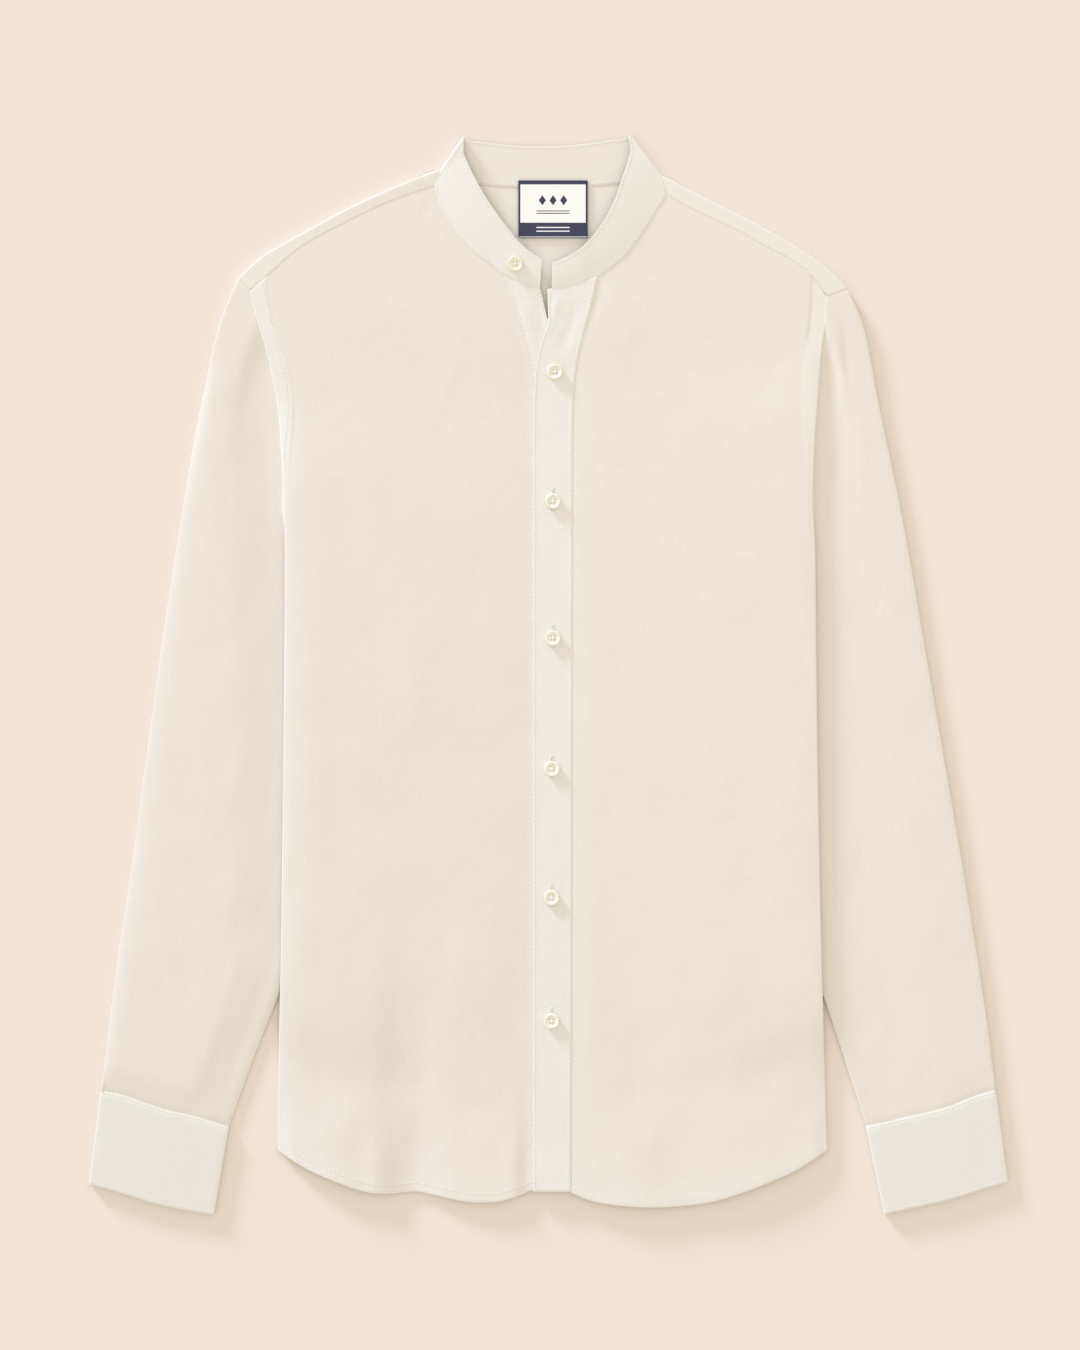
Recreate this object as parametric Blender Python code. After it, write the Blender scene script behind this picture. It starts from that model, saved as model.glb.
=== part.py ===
"""Linen shirt with a mandarin collar, buttoned and laid flat on its back.

The frame has +X towards the wearer's left, +Y towards the collar and +Z up.
The back panel and both sleeves lie on z = 0, and the origin is at the centre of
the bounding box's bottom. Sizes below are millimetres.

Every cloth piece is a grid of points on the cloth's middle surface, which a
Solidify modifier gives its wall. Pieces that share a seam share its points, and
each keeps half of the seam's gap to them.
"""
from math import cos, pi, radians, sin

import bmesh
import bpy
import numpy as np
from mathutils import Matrix, Vector

# ---------------------------------------------------------------- cloth sizes
MM = 0.001
CLOTH = 1.0          # wall of a single layer
YOKE_CLOTH = 1.2     # wall of the yoke
BAND_CLOTH = 1.6     # wall of the collar, plackets and cuffs
SEAM = 0.3           # gap between two pieces at their seam
LABEL_SIZE = (52.0, 43.0)
BUTTON_DIAMETER = 11.5
BUTTON_PROFILE = (    # turned section in millimetres: radius, height
    (0.0, 0.0),
    (4.2, 0.0),
    (5.75, 0.9),
    (5.75, 1.7),
    (5.0, 2.4),
    (3.9, 2.0),
    (0.0, 1.7),
)

# ------------------------------------------------------------ body landmarks
UNDERARM_Y = 128.0
YOKE_BACK_Y = 258.0
HEM_SIDE_Y = -357.0
BACK_HEM_RISE = 2.5   # how much shorter the back's hem is than the front's
TUCK_LIFT = 3.8       # how far the back panel is lifted by the sleeve under it
SHOULDER_Z = 5.0      # middle surface of the front layer at the shoulder
SIDE_Z = 8.1          # the same at the side seam, over the sleeve
HEM_SIDE_Z = 4.5      # the same at the side seam, below the sleeve
CENTRE_Z = {"right": 2.2, "left": 3.4}
PLACKET_Z = {"under": 2.1, "top": 4.0}   # middle surface of each band on the body
YOKE_NECK_GAP = 0.5   # between the yoke and the collar's back, in plan
COLLAR_RISE = (2.0, 1.0)  # the leaf's free edge over its seam: at its ends, extra between
COLLAR_CROWN = 0.4
SLEEVE_TOP_Z = 2.6    # middle surface of the sleeve's upper layer at its folds
SLEEVE_FULLNESS = 1.4
SLEEVE_ROUNDING = (14.0, 35.0)   # width over which it fills out, from the outer and inner side
SLEEVE_SEAM_REACH = (0.16, 0.055)  # share of its length shaped by the armhole: outside, inside
SLEEVE_REACH_ACROSS = (0.6, 1.0)
CUFF_DEPTH = 2.7      # between the middle surfaces of a cuff's two layers
CUFF_CROWN = 0.5
CUFF_ROWS = (0.006, 0.33, 0.66, 1.0)  # shares of its depth, the first just off the seam
CENTRE_RISE = 1.8     # how far the front's centre edge rises towards the collar

# Ramps: where a change in height starts and where it is complete.
TUCK_ACROSS = (80.0, 148.0)       # back panel's lift, by distance from the centre
TUCK_ABOVE_HEM = (-300.0, -250.0)  # the same, by height
TUCK_BELOW_YOKE = (200.0, 130.0)
CENTRE_RISE_Y = (200.0, 288.0)
SIDE_RISE_Y = (215.0, 130.0)
SIDE_FALL_Y = (-240.0, -310.0)
CURL_Y = (142.0, 116.0)           # side edge's curl, from the armhole downwards
BACK_FLUSH_Y = (100.0, 120.0)     # back panel's edge, from the side seam to the armhole
FOLD_END_Y = (300.0, 240.0)       # folds of the front, down from the neck
PINCH = (1.2, 26.0)               # body's edge beside the underarm: inset, half length
PINCH_Y = 120.0
SIGN = {"right": -1.0, "left": 1.0}
SIDES = ("right", "left")

# Side of the body, armhole and side seam: height, distance from the centre.
SIDE_TABLE = (
    # y,     right, left
    (287.0, 224.0, 209.5),
    (265.5, 218.5, 208.0),
    (243.0, 212.0, 205.0),
    (220.5, 206.5, 203.0),
    (190.5, 202.0, 200.5),
    (160.5, 200.0, 199.0),
    (128.0, 198.5, 198.5),
    (85.0, 197.5, 200.0),
    (-50.0, 198.5, 201.5),
    (-207.0, 200.5, 204.5),
    (-320.0, 203.0, 208.0),
    (-357.0, 203.0, 209.0),
)

# Outer fold of each sleeve, and the inner fold, which runs under the body.
SLEEVE_OUTER_TABLE = (
    # y,     right, left
    (277.0, 241.0, 230.5),
    (249.0, 250.0, 238.5),
    (220.0, 256.0, 244.0),
    (187.0, 263.0, 250.5),
    (145.0, 270.5, 259.5),
    (93.0, 278.5, 269.5),
    (40.0, 287.0, 278.5),
    (-50.0, 299.5, 294.0),
    (-140.0, 311.5, 309.5),
    (-230.0, 325.0, 324.0),
    (-275.0, 330.5, 330.5),
    (-313.0, 335.0, 335.0),
)
SLEEVE_INNER_TABLE = (
    # y,     right, left
    (117.0, 200.4, 200.6),
    (100.0, 199.6, 200.8),
    (70.0, 186.0, 186.5),
    (40.0, 168.0, 168.0),
    (-5.0, 156.5, 156.5),
    (-65.0, 158.0, 158.0),
    (-125.0, 168.0, 168.0),
    (-181.0, 183.0, 184.0),
    (-237.0, 201.5, 205.0),
    (-275.0, 217.0, 218.0),
    (-305.0, 227.0, 227.5),
    (-319.5, 232.0, 231.5),
    (-339.8, 240.5, 239.0),
)

# Seam between sleeve and cuff, and the cuff's open edge.
CUFF_TABLE = {
    "right": (
        # seam x, seam y, edge x, edge y
        (-335.0, -313.5, -344.0, -382.5),
        (-322.0, -316.0, -331.0, -386.0),
        (-304.0, -322.0, -313.0, -391.5),
        (-286.0, -328.0, -295.0, -397.0),
        (-268.0, -332.0, -277.0, -401.0),
        (-240.5, -340.0, -251.5, -405.5),
    ),
    "left": (
        (335.0, -313.0, 344.0, -381.0),
        (323.5, -316.0, 328.5, -385.5),
        (305.5, -323.5, 311.0, -391.0),
        (287.5, -329.0, 293.0, -396.0),
        (269.5, -333.0, 275.0, -400.0),
        (239.0, -340.0, 252.5, -405.0),
    ),
}

# Fold of the yoke over the shoulder, and the yoke's forward seam on the front.
SHOULDER_FOLD = {
    "right": ((-233.0, 295.5), (-215.0, 312.0), (-186.5, 328.5), (-149.0, 349.0),
              (-111.5, 366.0), (-84.8, 376.5)),
    "left": ((224.0, 288.0), (217.0, 296.0), (203.5, 307.5), (181.0, 322.5),
             (151.0, 339.0), (113.5, 358.0), (87.8, 371.5)),
}
YOKE_SEAM = {
    "right": ((-224.0, 287.0), (-212.5, 296.0), (-195.5, 313.0), (-171.5, 328.5),
              (-147.5, 341.0), (-123.5, 352.5), (-99.5, 361.5), (-85.0, 366.0)),
    "left": ((209.5, 283.0), (197.5, 298.5), (184.0, 309.0), (163.0, 320.0),
             (142.0, 332.0), (121.0, 342.0), (100.0, 352.0), (87.5, 360.0)),
}

# Neck seam from the yoke to the placket, then over the placket's top.
NECK_SEAM = {
    "right": ((-85.0, 366.0), (-82.3, 355.5), (-78.0, 344.5), (-69.0, 330.5),
              (-54.5, 315.0), (-43.0, 307.0), (-33.5, 299.0)),
    "left": ((87.5, 360.0), (84.5, 355.5), (80.0, 346.5), (72.5, 334.5),
             (61.0, 318.5), (50.0, 307.5), (36.5, 298.0)),
}
BAND_TOP = {
    "right": ((-33.5, 299.0), (-25.0, 294.8), (-13.5, 289.5), (-6.4, 288.3)),
    "left": ((36.5, 298.0), (29.0, 295.0), (17.0, 291.4), (2.6, 288.3)),
}
COLLAR_EDGE = {
    "right": ((-65.6, 402.8), (-64.0, 393.0), (-60.5, 383.0), (-55.0, 371.5),
              (-47.5, 358.0), (-40.0, 346.5), (-32.5, 337.0), (-23.5, 325.0),
              (-14.0, 316.5), (-4.9, 310.5)),
    "left": ((62.6, 405.0), (62.0, 397.0), (59.5, 384.0), (54.5, 369.5),
             (50.0, 356.0), (43.5, 343.0), (35.5, 331.0), (26.0, 320.5),
             (15.0, 313.0), (3.0, 308.0)),
}
COLLAR_BACK_BASE = ((-81.6, 375.2), (-66.5, 370.6), (-50.0, 367.0), (-22.0, 365.4),
                    (1.0, 365.0), (24.0, 365.8), (46.0, 367.6), (66.0, 369.6),
                    (84.8, 372.2))
COLLAR_BACK_EDGE = ((-63.4, 401.6), (-52.0, 399.8), (-29.0, 396.8), (-2.5, 396.0),
                    (23.5, 397.4), (45.0, 400.6), (60.2, 403.6))

# Placket edges: height, outer seam of the lower band, edges of the upper band.
PLACKET_TABLE = (
    # y,     under_left, under_right, top_left, top_right
    (299.0, -33.5, -6.4, 6.0, 36.5),
    (285.0, -28.9, -5.6, 1.2, 34.1),
    (271.5, -23.8, -2.2, 0.4, 30.4),
    (253.0, -18.0, 3.4, -4.6, 25.4),
    (236.0, -13.1, 8.0, -8.9, 21.6),
    (219.0, -10.6, 12.0, -11.0, 19.1),
    (190.0, -10.1, 15.6, -11.8, 18.0),
    (150.0, -10.1, 16.1, -12.0, 17.6),
    (-20.0, -10.1, 16.1, -12.0, 17.3),
    (-245.0, -10.1, 16.1, -12.0, 16.9),
    (-390.0, -10.1, 16.1, -12.0, 16.2),
)
UNDER_LEFT, UNDER_RIGHT, TOP_LEFT, TOP_RIGHT = 1, 2, 3, 4

HEM_TABLE = {
    "right": ((-203.0, -357.5), (-186.5, -367.5), (-171.5, -375.0), (-156.5, -381.0),
              (-141.5, -386.5), (-126.5, -389.2), (-111.5, -388.8), (-96.5, -388.2),
              (-81.5, -391.5), (-66.5, -394.5), (-51.5, -396.0), (-36.5, -395.0),
              (-21.5, -390.5), (-10.1, -387.0)),
    "left": ((209.0, -356.5), (188.5, -370.0), (173.5, -377.0), (158.5, -383.5),
             (143.5, -389.0), (128.5, -393.8), (113.5, -396.8), (98.5, -398.6),
             (76.0, -399.4), (53.5, -398.0), (38.5, -396.0), (25.0, -392.5),
             (16.2, -388.5)),
}
PLACKET_HEM_Y = {"right": -386.0, "left": -388.0}

# Broad soft folds of the fronts: two ends, half width, height (+ ridge, - trough).
FOLD_TABLE = {
    "right": (
        # x0,     y0,     x1,     y1, width, height
        (-104.0, -180.0, -104.0, -420.0, 17.0, -1.1),
        (-82.0, 115.0, -128.0, -75.0, 26.0, 0.7),
        (-150.0, 110.0, -95.0, -30.0, 22.0, -0.5),
        (-150.0, -110.0, -142.0, -400.0, 26.0, 0.8),
        (-52.0, -90.0, -58.0, -400.0, 24.0, 0.8),
        (-150.0, 230.0, -120.0, 60.0, 20.0, 0.5),
    ),
    "left": (
        (165.0, 85.0, 95.0, -20.0, 20.0, 0.5),
        (120.0, -140.0, 128.0, -400.0, 26.0, 0.7),
        (60.0, -110.0, 55.0, -400.0, 22.0, -0.6),
        (88.0, 190.0, 104.0, 10.0, 26.0, 0.5),
        (156.0, 215.0, 176.0, 120.0, 16.0, -0.4),
        (150.0, -40.0, 160.0, -330.0, 24.0, -0.5),
    ),
}

BUTTON_COLLAR = (-24.8, 307.5)
BUTTON_COLUMN = (
    # x,    y
    (4.9, 226.5),
    (3.4, 129.5),
    (3.4, 27.0),
    (2.6, -71.0),
    (2.2, -167.6),
    (2.2, -260.0),
)
LABEL_CENTRE = (3.4, 348.8)

# --------------------------------------------------------------- grid density
BODY_ROWS = 14       # from the hem to the underarm
ARMHOLE_ROWS = 8     # from the underarm to the yoke
YOKE_COLUMNS = 7     # along one shoulder
NECK_COLUMNS = 6     # along the front's neck seam
CURL_ANGLES = (90.0, 67.5, 45.0, 22.5, 0.0)
CURL_WIDTH = 4.0
TURN_ANGLES = (45.0, 90.0, 135.0)  # points round a half-turn fold
BAND_SHARES = (0.0, 1 / 3, 2 / 3, 1.0)  # points across the collar
YOKE_END_SHARES = (0.0, 0.35, 0.7)      # points up the yoke's armhole edge
HEM_COLUMNS = 9      # of the back panel, on each side of the centre
SLEEVE_STEPS = (      # each row's share of the outer fold's length and of the inner's
    (0.0, 0.0), (0.045, 0.008), (0.09, 0.016), (0.135, 0.026), (0.18, 0.04),
    (0.225, 0.06), (0.27, 0.09), (0.315, 0.13), (0.365, 0.18), (0.42, 0.24),
    (0.48, 0.31), (0.545, 0.39), (0.615, 0.48), (0.69, 0.57), (0.765, 0.67),
    (0.84, 0.77), (0.92, 0.88), (1.0, 1.0),
)
CUFF_COLUMNS = 6
BUTTON_SIDES = 20

# --------------------------------------------------------------- sRGB colours
LINEN = (0.925, 0.890, 0.830)
LINEN_DOUBLE = (0.935, 0.915, 0.870)
LABEL_COLOUR = (0.965, 0.955, 0.925)
BUTTON_COLOUR = (0.950, 0.925, 0.845)


# ------------------------------------------------------------------- helpers
def ease(value):
    """Smooth step from 0 to 1 while value goes from 0 to 1."""
    t = min(max(value, 0.0), 1.0)
    return t * t * (3.0 - 2.0 * t)


def ramp(value, span):
    """Smooth step from 0 to 1 while value goes from span's start to its end."""
    return ease((value - span[0]) / (span[1] - span[0]))


def mix(a, b, share):
    """Straight blend of a and b."""
    return a + (b - a) * share


def smooth_line(points, steps=12):
    """Many points on a smooth curve through the given ones."""
    p = np.array(points, float)
    ends = np.vstack([2 * p[0] - p[1], p, 2 * p[-1] - p[-2]])
    line = []
    for a, b, c, d in zip(ends, ends[1:], ends[2:], ends[3:]):
        for t in np.linspace(0.0, 1.0, steps, endpoint=False):
            line.append(0.5 * (2 * b + (c - a) * t + (2 * a - 5 * b + 4 * c - d) * t ** 2
                               + (3 * b - a - 3 * c + d) * t ** 3))
    line.append(p[-1])
    return np.array(line)


def lengths(line):
    """Distance along a line at each of its points."""
    steps = np.linalg.norm(np.diff(line, axis=0), axis=1)
    return np.concatenate([[0.0], np.cumsum(steps)])


def along(line, shares):
    """Points at the given shares of a line's length."""
    run = lengths(line)
    want = np.array(shares) * run[-1]
    return np.column_stack([np.interp(want, run, line[:, k]) for k in range(line.shape[1])])


def spread(points, count):
    """count + 1 points spaced evenly along the curve through the given ones."""
    return along(smooth_line(points), np.linspace(0.0, 1.0, count + 1))


def table_value(table, y, column):
    """Column of a table of heights at height y, read from a smooth curve."""
    line = smooth_line([(row[0], row[column]) for row in table])
    order = np.argsort(line[:, 0])
    return float(np.interp(y, line[order, 0], line[order, 1]))


def offset(line, distance):
    """A plan line moved to its left by distance."""
    ahead = np.gradient(line, axis=0)
    ahead /= np.linalg.norm(ahead, axis=1)[:, None]
    return line + distance * np.column_stack([-ahead[:, 1], ahead[:, 0]])


def coons(first, last, start, end, shares=None):
    """Rows of plan points between four edges.

    first and last are the rows at both ends, start and end the columns, and
    shares says how far each row lies from first to last.
    """
    if shares is None:
        shares = np.linspace(0.0, 1.0, len(start))
    columns = len(first) - 1
    grid = np.zeros((len(start), columns + 1, 2))
    for j, v in enumerate(shares):
        for i in range(columns + 1):
            u = i / columns
            corners = mix(mix(first[0], first[-1], u), mix(last[0], last[-1], u), v)
            grid[j, i] = mix(first[i], last[i], v) + mix(start[j], end[j], u) - corners
    return grid


def fold_height(side, x, y):
    """Height that the broad folds of one front add at a place."""
    total = 0.0
    for x0, y0, x1, y1, width, height in FOLD_TABLE[side]:
        run = np.array((x1 - x0, y1 - y0))
        place = np.array((x - x0, y - y0))
        t = float(place @ run) / float(run @ run)
        away = abs(run[0] * place[1] - run[1] * place[0]) / float(np.linalg.norm(run))
        if 0.0 < t < 1.0:
            total += height * ease(2.0 * min(t, 1.0 - t)) / (1.0 + (away / width) ** 4)
    return total


# --------------------------------------------------------- heights of layers
def side_x(side, y):
    """Distance of the body's edge from the centre line."""
    return table_value(SIDE_TABLE, y, 1 if side == "right" else 2)


def placket_x(y, column):
    """One edge of the plackets at height y."""
    return table_value(PLACKET_TABLE, y, column)


def back_lift(x, y):
    """How far the back panel stands off the floor over a tucked sleeve."""
    level = ramp(y, TUCK_ABOVE_HEM) * ramp(y, TUCK_BELOW_YOKE)
    return TUCK_LIFT * ramp(abs(x), TUCK_ACROSS) * level


def centre_z(side, y):
    """Middle surface of a front where it meets its placket."""
    return CENTRE_Z[side] + CENTRE_RISE * ramp(y, CENTRE_RISE_Y)


def front_side_z(y):
    """Middle surface of a front at the body's edge, before it curls down."""
    above = mix(SHOULDER_Z, SIDE_Z, ramp(y, SIDE_RISE_Y))
    return mix(above, HEM_SIDE_Z, ramp(y, SIDE_FALL_Y))


def front_z(side, x, y):
    """Middle surface of a front panel."""
    inner = abs(placket_x(y, UNDER_LEFT if side == "right" else TOP_RIGHT))
    outer = side_x(side, y)
    share = min(max((abs(x) - inner) / (outer - inner), 0.0), 1.0)
    window = 4.0 * share * (1.0 - share) * ramp(y, FOLD_END_Y)
    flat = mix(centre_z(side, y), front_side_z(y), share)
    return flat + window * fold_height(side, x, y)


def curl_drop(side, y):
    """How far the front's edge curls down to the back panel's edge."""
    back_top = CLOTH + back_lift(side_x(side, y), y)
    return (front_side_z(y) - back_top - SEAM) * ramp(y, CURL_Y)


def pinch(y):
    """Extra inset of the body's edge beside the underarm seam."""
    inset, half_length = PINCH
    return inset * ease(1.0 - abs(y - PINCH_Y) / half_length)


# ----------------------------------------------------------- shared seam lines
def armhole_line(side):
    """Armhole seam from the shoulder's tip to the underarm."""
    tip = np.array(SHOULDER_FOLD[side][0])
    heights = np.linspace(SIDE_TABLE[0][0], UNDERARM_Y, ARMHOLE_ROWS + 1)
    if side == "left":
        heights[0] = YOKE_SEAM[side][0][1]
    seam = np.array([(SIGN[side] * side_x(side, y), y) for y in heights])
    return np.vstack([tip, seam])


def neck_line(side):
    """Neck seam of one front, from the yoke to the placket."""
    return spread(NECK_SEAM[side], NECK_COLUMNS)


def centre_heights(side):
    """Heights of the front's rows at the placket."""
    low = PLACKET_HEM_Y[side]
    high = NECK_SEAM[side][-1][1]
    body = np.linspace(low, UNDERARM_Y, BODY_ROWS + 1)
    chest = np.linspace(UNDERARM_Y, high, ARMHOLE_ROWS + 1)
    return np.concatenate([body, chest[1:]])


def side_heights(side):
    """Heights of the front's rows at the body's edge."""
    high = YOKE_SEAM[side][0][1]
    body = np.linspace(HEM_SIDE_Y, UNDERARM_Y, BODY_ROWS + 1)
    chest = np.linspace(UNDERARM_Y, high, ARMHOLE_ROWS + 1)
    return np.concatenate([body, chest[1:]])


# -------------------------------------------------------------- mesh building
def make_material(name, colour, roughness):
    """Principled material with an sRGB colour."""
    material = bpy.data.materials.new(name)
    material.use_nodes = True
    shader = material.node_tree.nodes["Principled BSDF"]
    linear = [channel ** 2.2 for channel in colour]
    shader.inputs["Base Color"].default_value = (*linear, 1.0)
    shader.inputs["Roughness"].default_value = roughness
    shader.inputs["Metallic"].default_value = 0.0
    return material


def make_object(name, points, faces, material):
    """Object with a mesh made from millimetre points."""
    mesh = bpy.data.meshes.new(name)
    mesh.from_pydata([tuple(MM * c for c in p) for p in points], [], faces)
    mesh.materials.append(material)
    mesh.shade_smooth()
    item = bpy.data.objects.new(name, mesh)
    bpy.context.scene.collection.objects.link(item)
    return item


def make_wall(item, thickness):
    """Give a sheet of cloth its wall, half to each side."""
    solid = item.modifiers.new("wall", "SOLIDIFY")
    solid.thickness = thickness * MM
    solid.offset = 0.0
    solid.use_even_offset = False
    solid.use_quality_normals = True
    return item


def make_sheet(name, rows, thickness, material, closed=False):
    """Cloth piece from rows of points; None leaves a place open.

    closed joins each row's end to its start, which makes a tube.
    """
    index = {}
    points = []
    for j, row in enumerate(rows):
        for i, point in enumerate(row):
            if point is not None:
                index[j, i] = len(points)
                points.append(point)
    columns = len(rows[0])
    faces = []
    for j in range(len(rows) - 1):
        for i in range(columns if closed else columns - 1):
            k = (i + 1) % columns
            corners = ((j, i), (j, k), (j + 1, k), (j + 1, i))
            if all(corner in index for corner in corners):
                faces.append([index[corner] for corner in corners])
    return make_wall(make_object(name, points, faces, material), thickness)


# -------------------------------------------------------------------- fronts
def front_grid(side):
    """Plan rows of one front, from its hem to its yoke and neck seams."""
    sign = SIGN[side]
    hem = spread(HEM_TABLE[side], YOKE_COLUMNS + NECK_COLUMNS)
    top = np.vstack([spread(YOKE_SEAM[side], YOKE_COLUMNS), neck_line(side)[1:]])
    top = offset(top, sign * SEAM / 2)
    heights = side_heights(side)
    edge = np.array([(sign * (side_x(side, y) - CLOTH / 2 - pinch(y)), y) for y in heights])
    column = UNDER_LEFT if side == "right" else TOP_RIGHT
    centre = np.array([(placket_x(y, column) + sign * SEAM / 2, y)
                       for y in centre_heights(side)])
    top[0] = edge[-1]
    top[-1] = centre[-1]
    hem[0] = edge[0]
    hem[-1] = centre[0]
    return coons(hem, top, edge, centre)


def make_front(side, material):
    """One front panel, its side edge curled down to the back panel."""
    grid = front_grid(side)
    rows = []
    for plan in grid:
        row = []
        inward = (plan[1] - plan[0]) / np.linalg.norm(plan[1] - plan[0])
        for angle in CURL_ANGLES:
            x, y = plan[0] + inward * CURL_WIDTH * (1.0 - sin(radians(angle)))
            drop = curl_drop(side, y) * (1.0 - cos(radians(angle)))
            row.append((x, y, front_z(side, x, y) - drop))
        row.extend((x, y, front_z(side, x, y)) for x, y in plan[1:])
        rows.append(row)
    return make_sheet("front_" + side, rows, CLOTH, material)


def body_edge_line(side):
    """Armhole edge of the yoke, back and fronts, half a wall inside the seam."""
    return offset(armhole_line(side), -SIGN[side] * CLOTH / 2)


# ---------------------------------------------------------------------- back
def back_edge(side, y):
    """Plan point of the back panel's edge."""
    inset = CLOTH / 2 * ramp(y, BACK_FLUSH_Y) + pinch(y)
    return (SIGN[side] * (side_x(side, y) - inset), y)


def make_back(material):
    """Back panel from its hem to the yoke, over both tucked sleeves."""
    heights = np.concatenate([
        np.linspace(HEM_SIDE_Y + BACK_HEM_RISE, UNDERARM_Y, BODY_ROWS + 1),
        np.linspace(UNDERARM_Y, YOKE_BACK_Y - SEAM / 2, ARMHOLE_ROWS - 1)[1:]])
    right = np.array([back_edge("right", y) for y in heights])
    left = np.array([back_edge("left", y) for y in heights])
    hem = np.vstack([spread(HEM_TABLE["right"], HEM_COLUMNS),
                     spread(HEM_TABLE["left"], HEM_COLUMNS)[::-1]])
    hem[:, 1] += BACK_HEM_RISE
    hem[0] = right[0]
    hem[-1] = left[0]
    top = np.linspace(right[-1], left[-1], len(hem))
    rows = [[(x, y, CLOTH / 2 + back_lift(x, y)) for x, y in row]
            for row in coons(hem, top, right, left)]
    return make_sheet("back_panel", rows, CLOTH, material)


# ---------------------------------------------------------------------- yoke
def yoke_seam(side, gap):
    """The yoke's forward seam, moved off the seam line by gap towards the front."""
    return offset(spread(YOKE_SEAM[side], YOKE_COLUMNS), SIGN[side] * gap)


def shoulder_side(side):
    """One shoulder's columns: tip first, each with its fold and inward direction."""
    fold = spread(SHOULDER_FOLD[side], YOKE_COLUMNS)
    inward = offset(fold, SIGN[side]) - fold
    end = body_edge_line(side)
    fold[0] = end[0]
    inward[0] = (end[1] - end[0]) / np.linalg.norm(end[1] - end[0])
    seam = yoke_seam(side, -SEAM / 2)
    seam[0] = end[1]
    return fold, inward, seam


def make_yoke(material):
    """Yoke: flat across the back, folded over each shoulder to its front seam."""
    floor_z = YOKE_CLOTH / 2
    radius = (SHOULDER_Z - floor_z) / 2
    right_fold, right_in, right_seam = shoulder_side("right")
    left_fold, left_in, left_seam = shoulder_side("left")
    neck = offset(spread(COLLAR_BACK_BASE, NECK_COLUMNS + 2), -YOKE_NECK_GAP)[1:-1]
    fold = np.vstack([right_fold, neck, left_fold[::-1]])
    inward = np.vstack([right_in, 0.0 * neck, left_in[::-1]])
    seam = np.vstack([right_seam, neck, left_seam[::-1]])
    bend = fold + inward * radius
    ends = {}
    for side in SIDES:
        low = YOKE_BACK_Y + SEAM / 2
        corner = body_edge_line(side)[1]
        heights = [mix(low, corner[1], share) for share in YOKE_END_SHARES]
        edge = [(SIGN[side] * (side_x(side, y) - CLOTH / 2), y) for y in heights]
        ends[side] = np.array([*edge, corner, bend[0] if side == "right" else bend[-1]])
    low_row = np.linspace(ends["right"][0], ends["left"][0], len(bend))
    rows = [[(x, y, floor_z) for x, y in row]
            for row in coons(low_row, bend, ends["right"], ends["left"])]
    wraps = len(right_fold)
    on_shoulder = [i < wraps or i >= len(fold) - wraps for i in range(len(fold))]
    for angle in (*TURN_ANGLES, 180.0):
        plan = fold + inward * radius * (1.0 - sin(radians(angle)))
        height = floor_z + radius * (1.0 - cos(radians(angle)))
        rows.append([(x, y, height) if shown else None
                     for (x, y), shown in zip(plan, on_shoulder)])
    rows.append([(x, y, front_z("right" if x < 0 else "left", x, y)) if shown else None
                 for (x, y), shown in zip(seam, on_shoulder)])
    return make_sheet("yoke", rows, YOKE_CLOTH, material)


# ------------------------------------------------------------------- plackets
def placket_z(name, y):
    """Middle surface of the button band ("under") or the buttonhole band ("top")."""
    return PLACKET_Z[name] + CENTRE_RISE * ramp(y, CENTRE_RISE_Y)


def make_placket(name, band, side, columns, material):
    """One placket band, from the hem to the collar.

    columns names the band's two edges in the table, from -X to +X.
    """
    sign = SIGN[side]
    heights = centre_heights(side)
    top = offset(spread(BAND_TOP[side], 4), sign * SEAM / 2)
    if side == "left":
        top = top[::-1]
    low, high = heights[0], heights[-1]
    edges = []
    for column, end in zip(columns, (0, -1)):
        shrink = (top[end, 1] - low) / (high - low)
        ys = low + (heights - low) * shrink
        seam = column == (UNDER_LEFT if side == "right" else TOP_RIGHT)
        inset = -sign * SEAM / 2 if seam else 0.0
        edges.append(np.array([(placket_x(y, column) + inset, y) for y in ys]))
        top[end] = edges[-1][-1]
    low_row = np.linspace(edges[0][0], edges[1][0], 5)
    rows = [[(x, y, placket_z(band, y)) for x, y in row]
            for row in coons(low_row, top, edges[0], edges[1])]
    return make_sheet(name, rows, BAND_CLOTH, material)


# --------------------------------------------------------------------- collar
def collar_row(base, top):
    """Points across the band, with a slight crown."""
    crown = np.array((0.0, 0.0, COLLAR_CROWN))
    base, top = np.array(base), np.array(top)
    return [tuple(mix(base, top, t) + crown * sin(pi * t)) for t in BAND_SHARES]


def collar_leaf(side):
    """Rows of one front leaf, from the neck's side to the centre front."""
    sign = SIGN[side]
    band = "under" if side == "right" else "top"
    seam = np.vstack([neck_line(side), spread(BAND_TOP[side], 3)[1:]])
    base = offset(seam, -sign * SEAM / 2)
    base[0, 0] -= sign * SEAM
    fold_base = COLLAR_BACK_BASE[0 if side == "right" else -1]
    fold_edge = COLLAR_BACK_EDGE[0 if side == "right" else -1]
    base = np.vstack([fold_base, base])
    edge = spread(COLLAR_EDGE[side], len(base) - 1)
    edge[0] = fold_edge
    rows = []
    for k, (low, high) in enumerate(zip(base, edge)):
        share = k / (len(base) - 1)
        if k == 0:
            height = SHOULDER_Z
        elif k <= NECK_COLUMNS + 1:
            height = front_z(side, *low)
        else:
            height = placket_z(band, low[1])
        rise = COLLAR_RISE[0] + COLLAR_RISE[1] * sin(pi * share)
        rows.append(((*low, height), (*high, height + rise)))
    return rows


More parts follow.
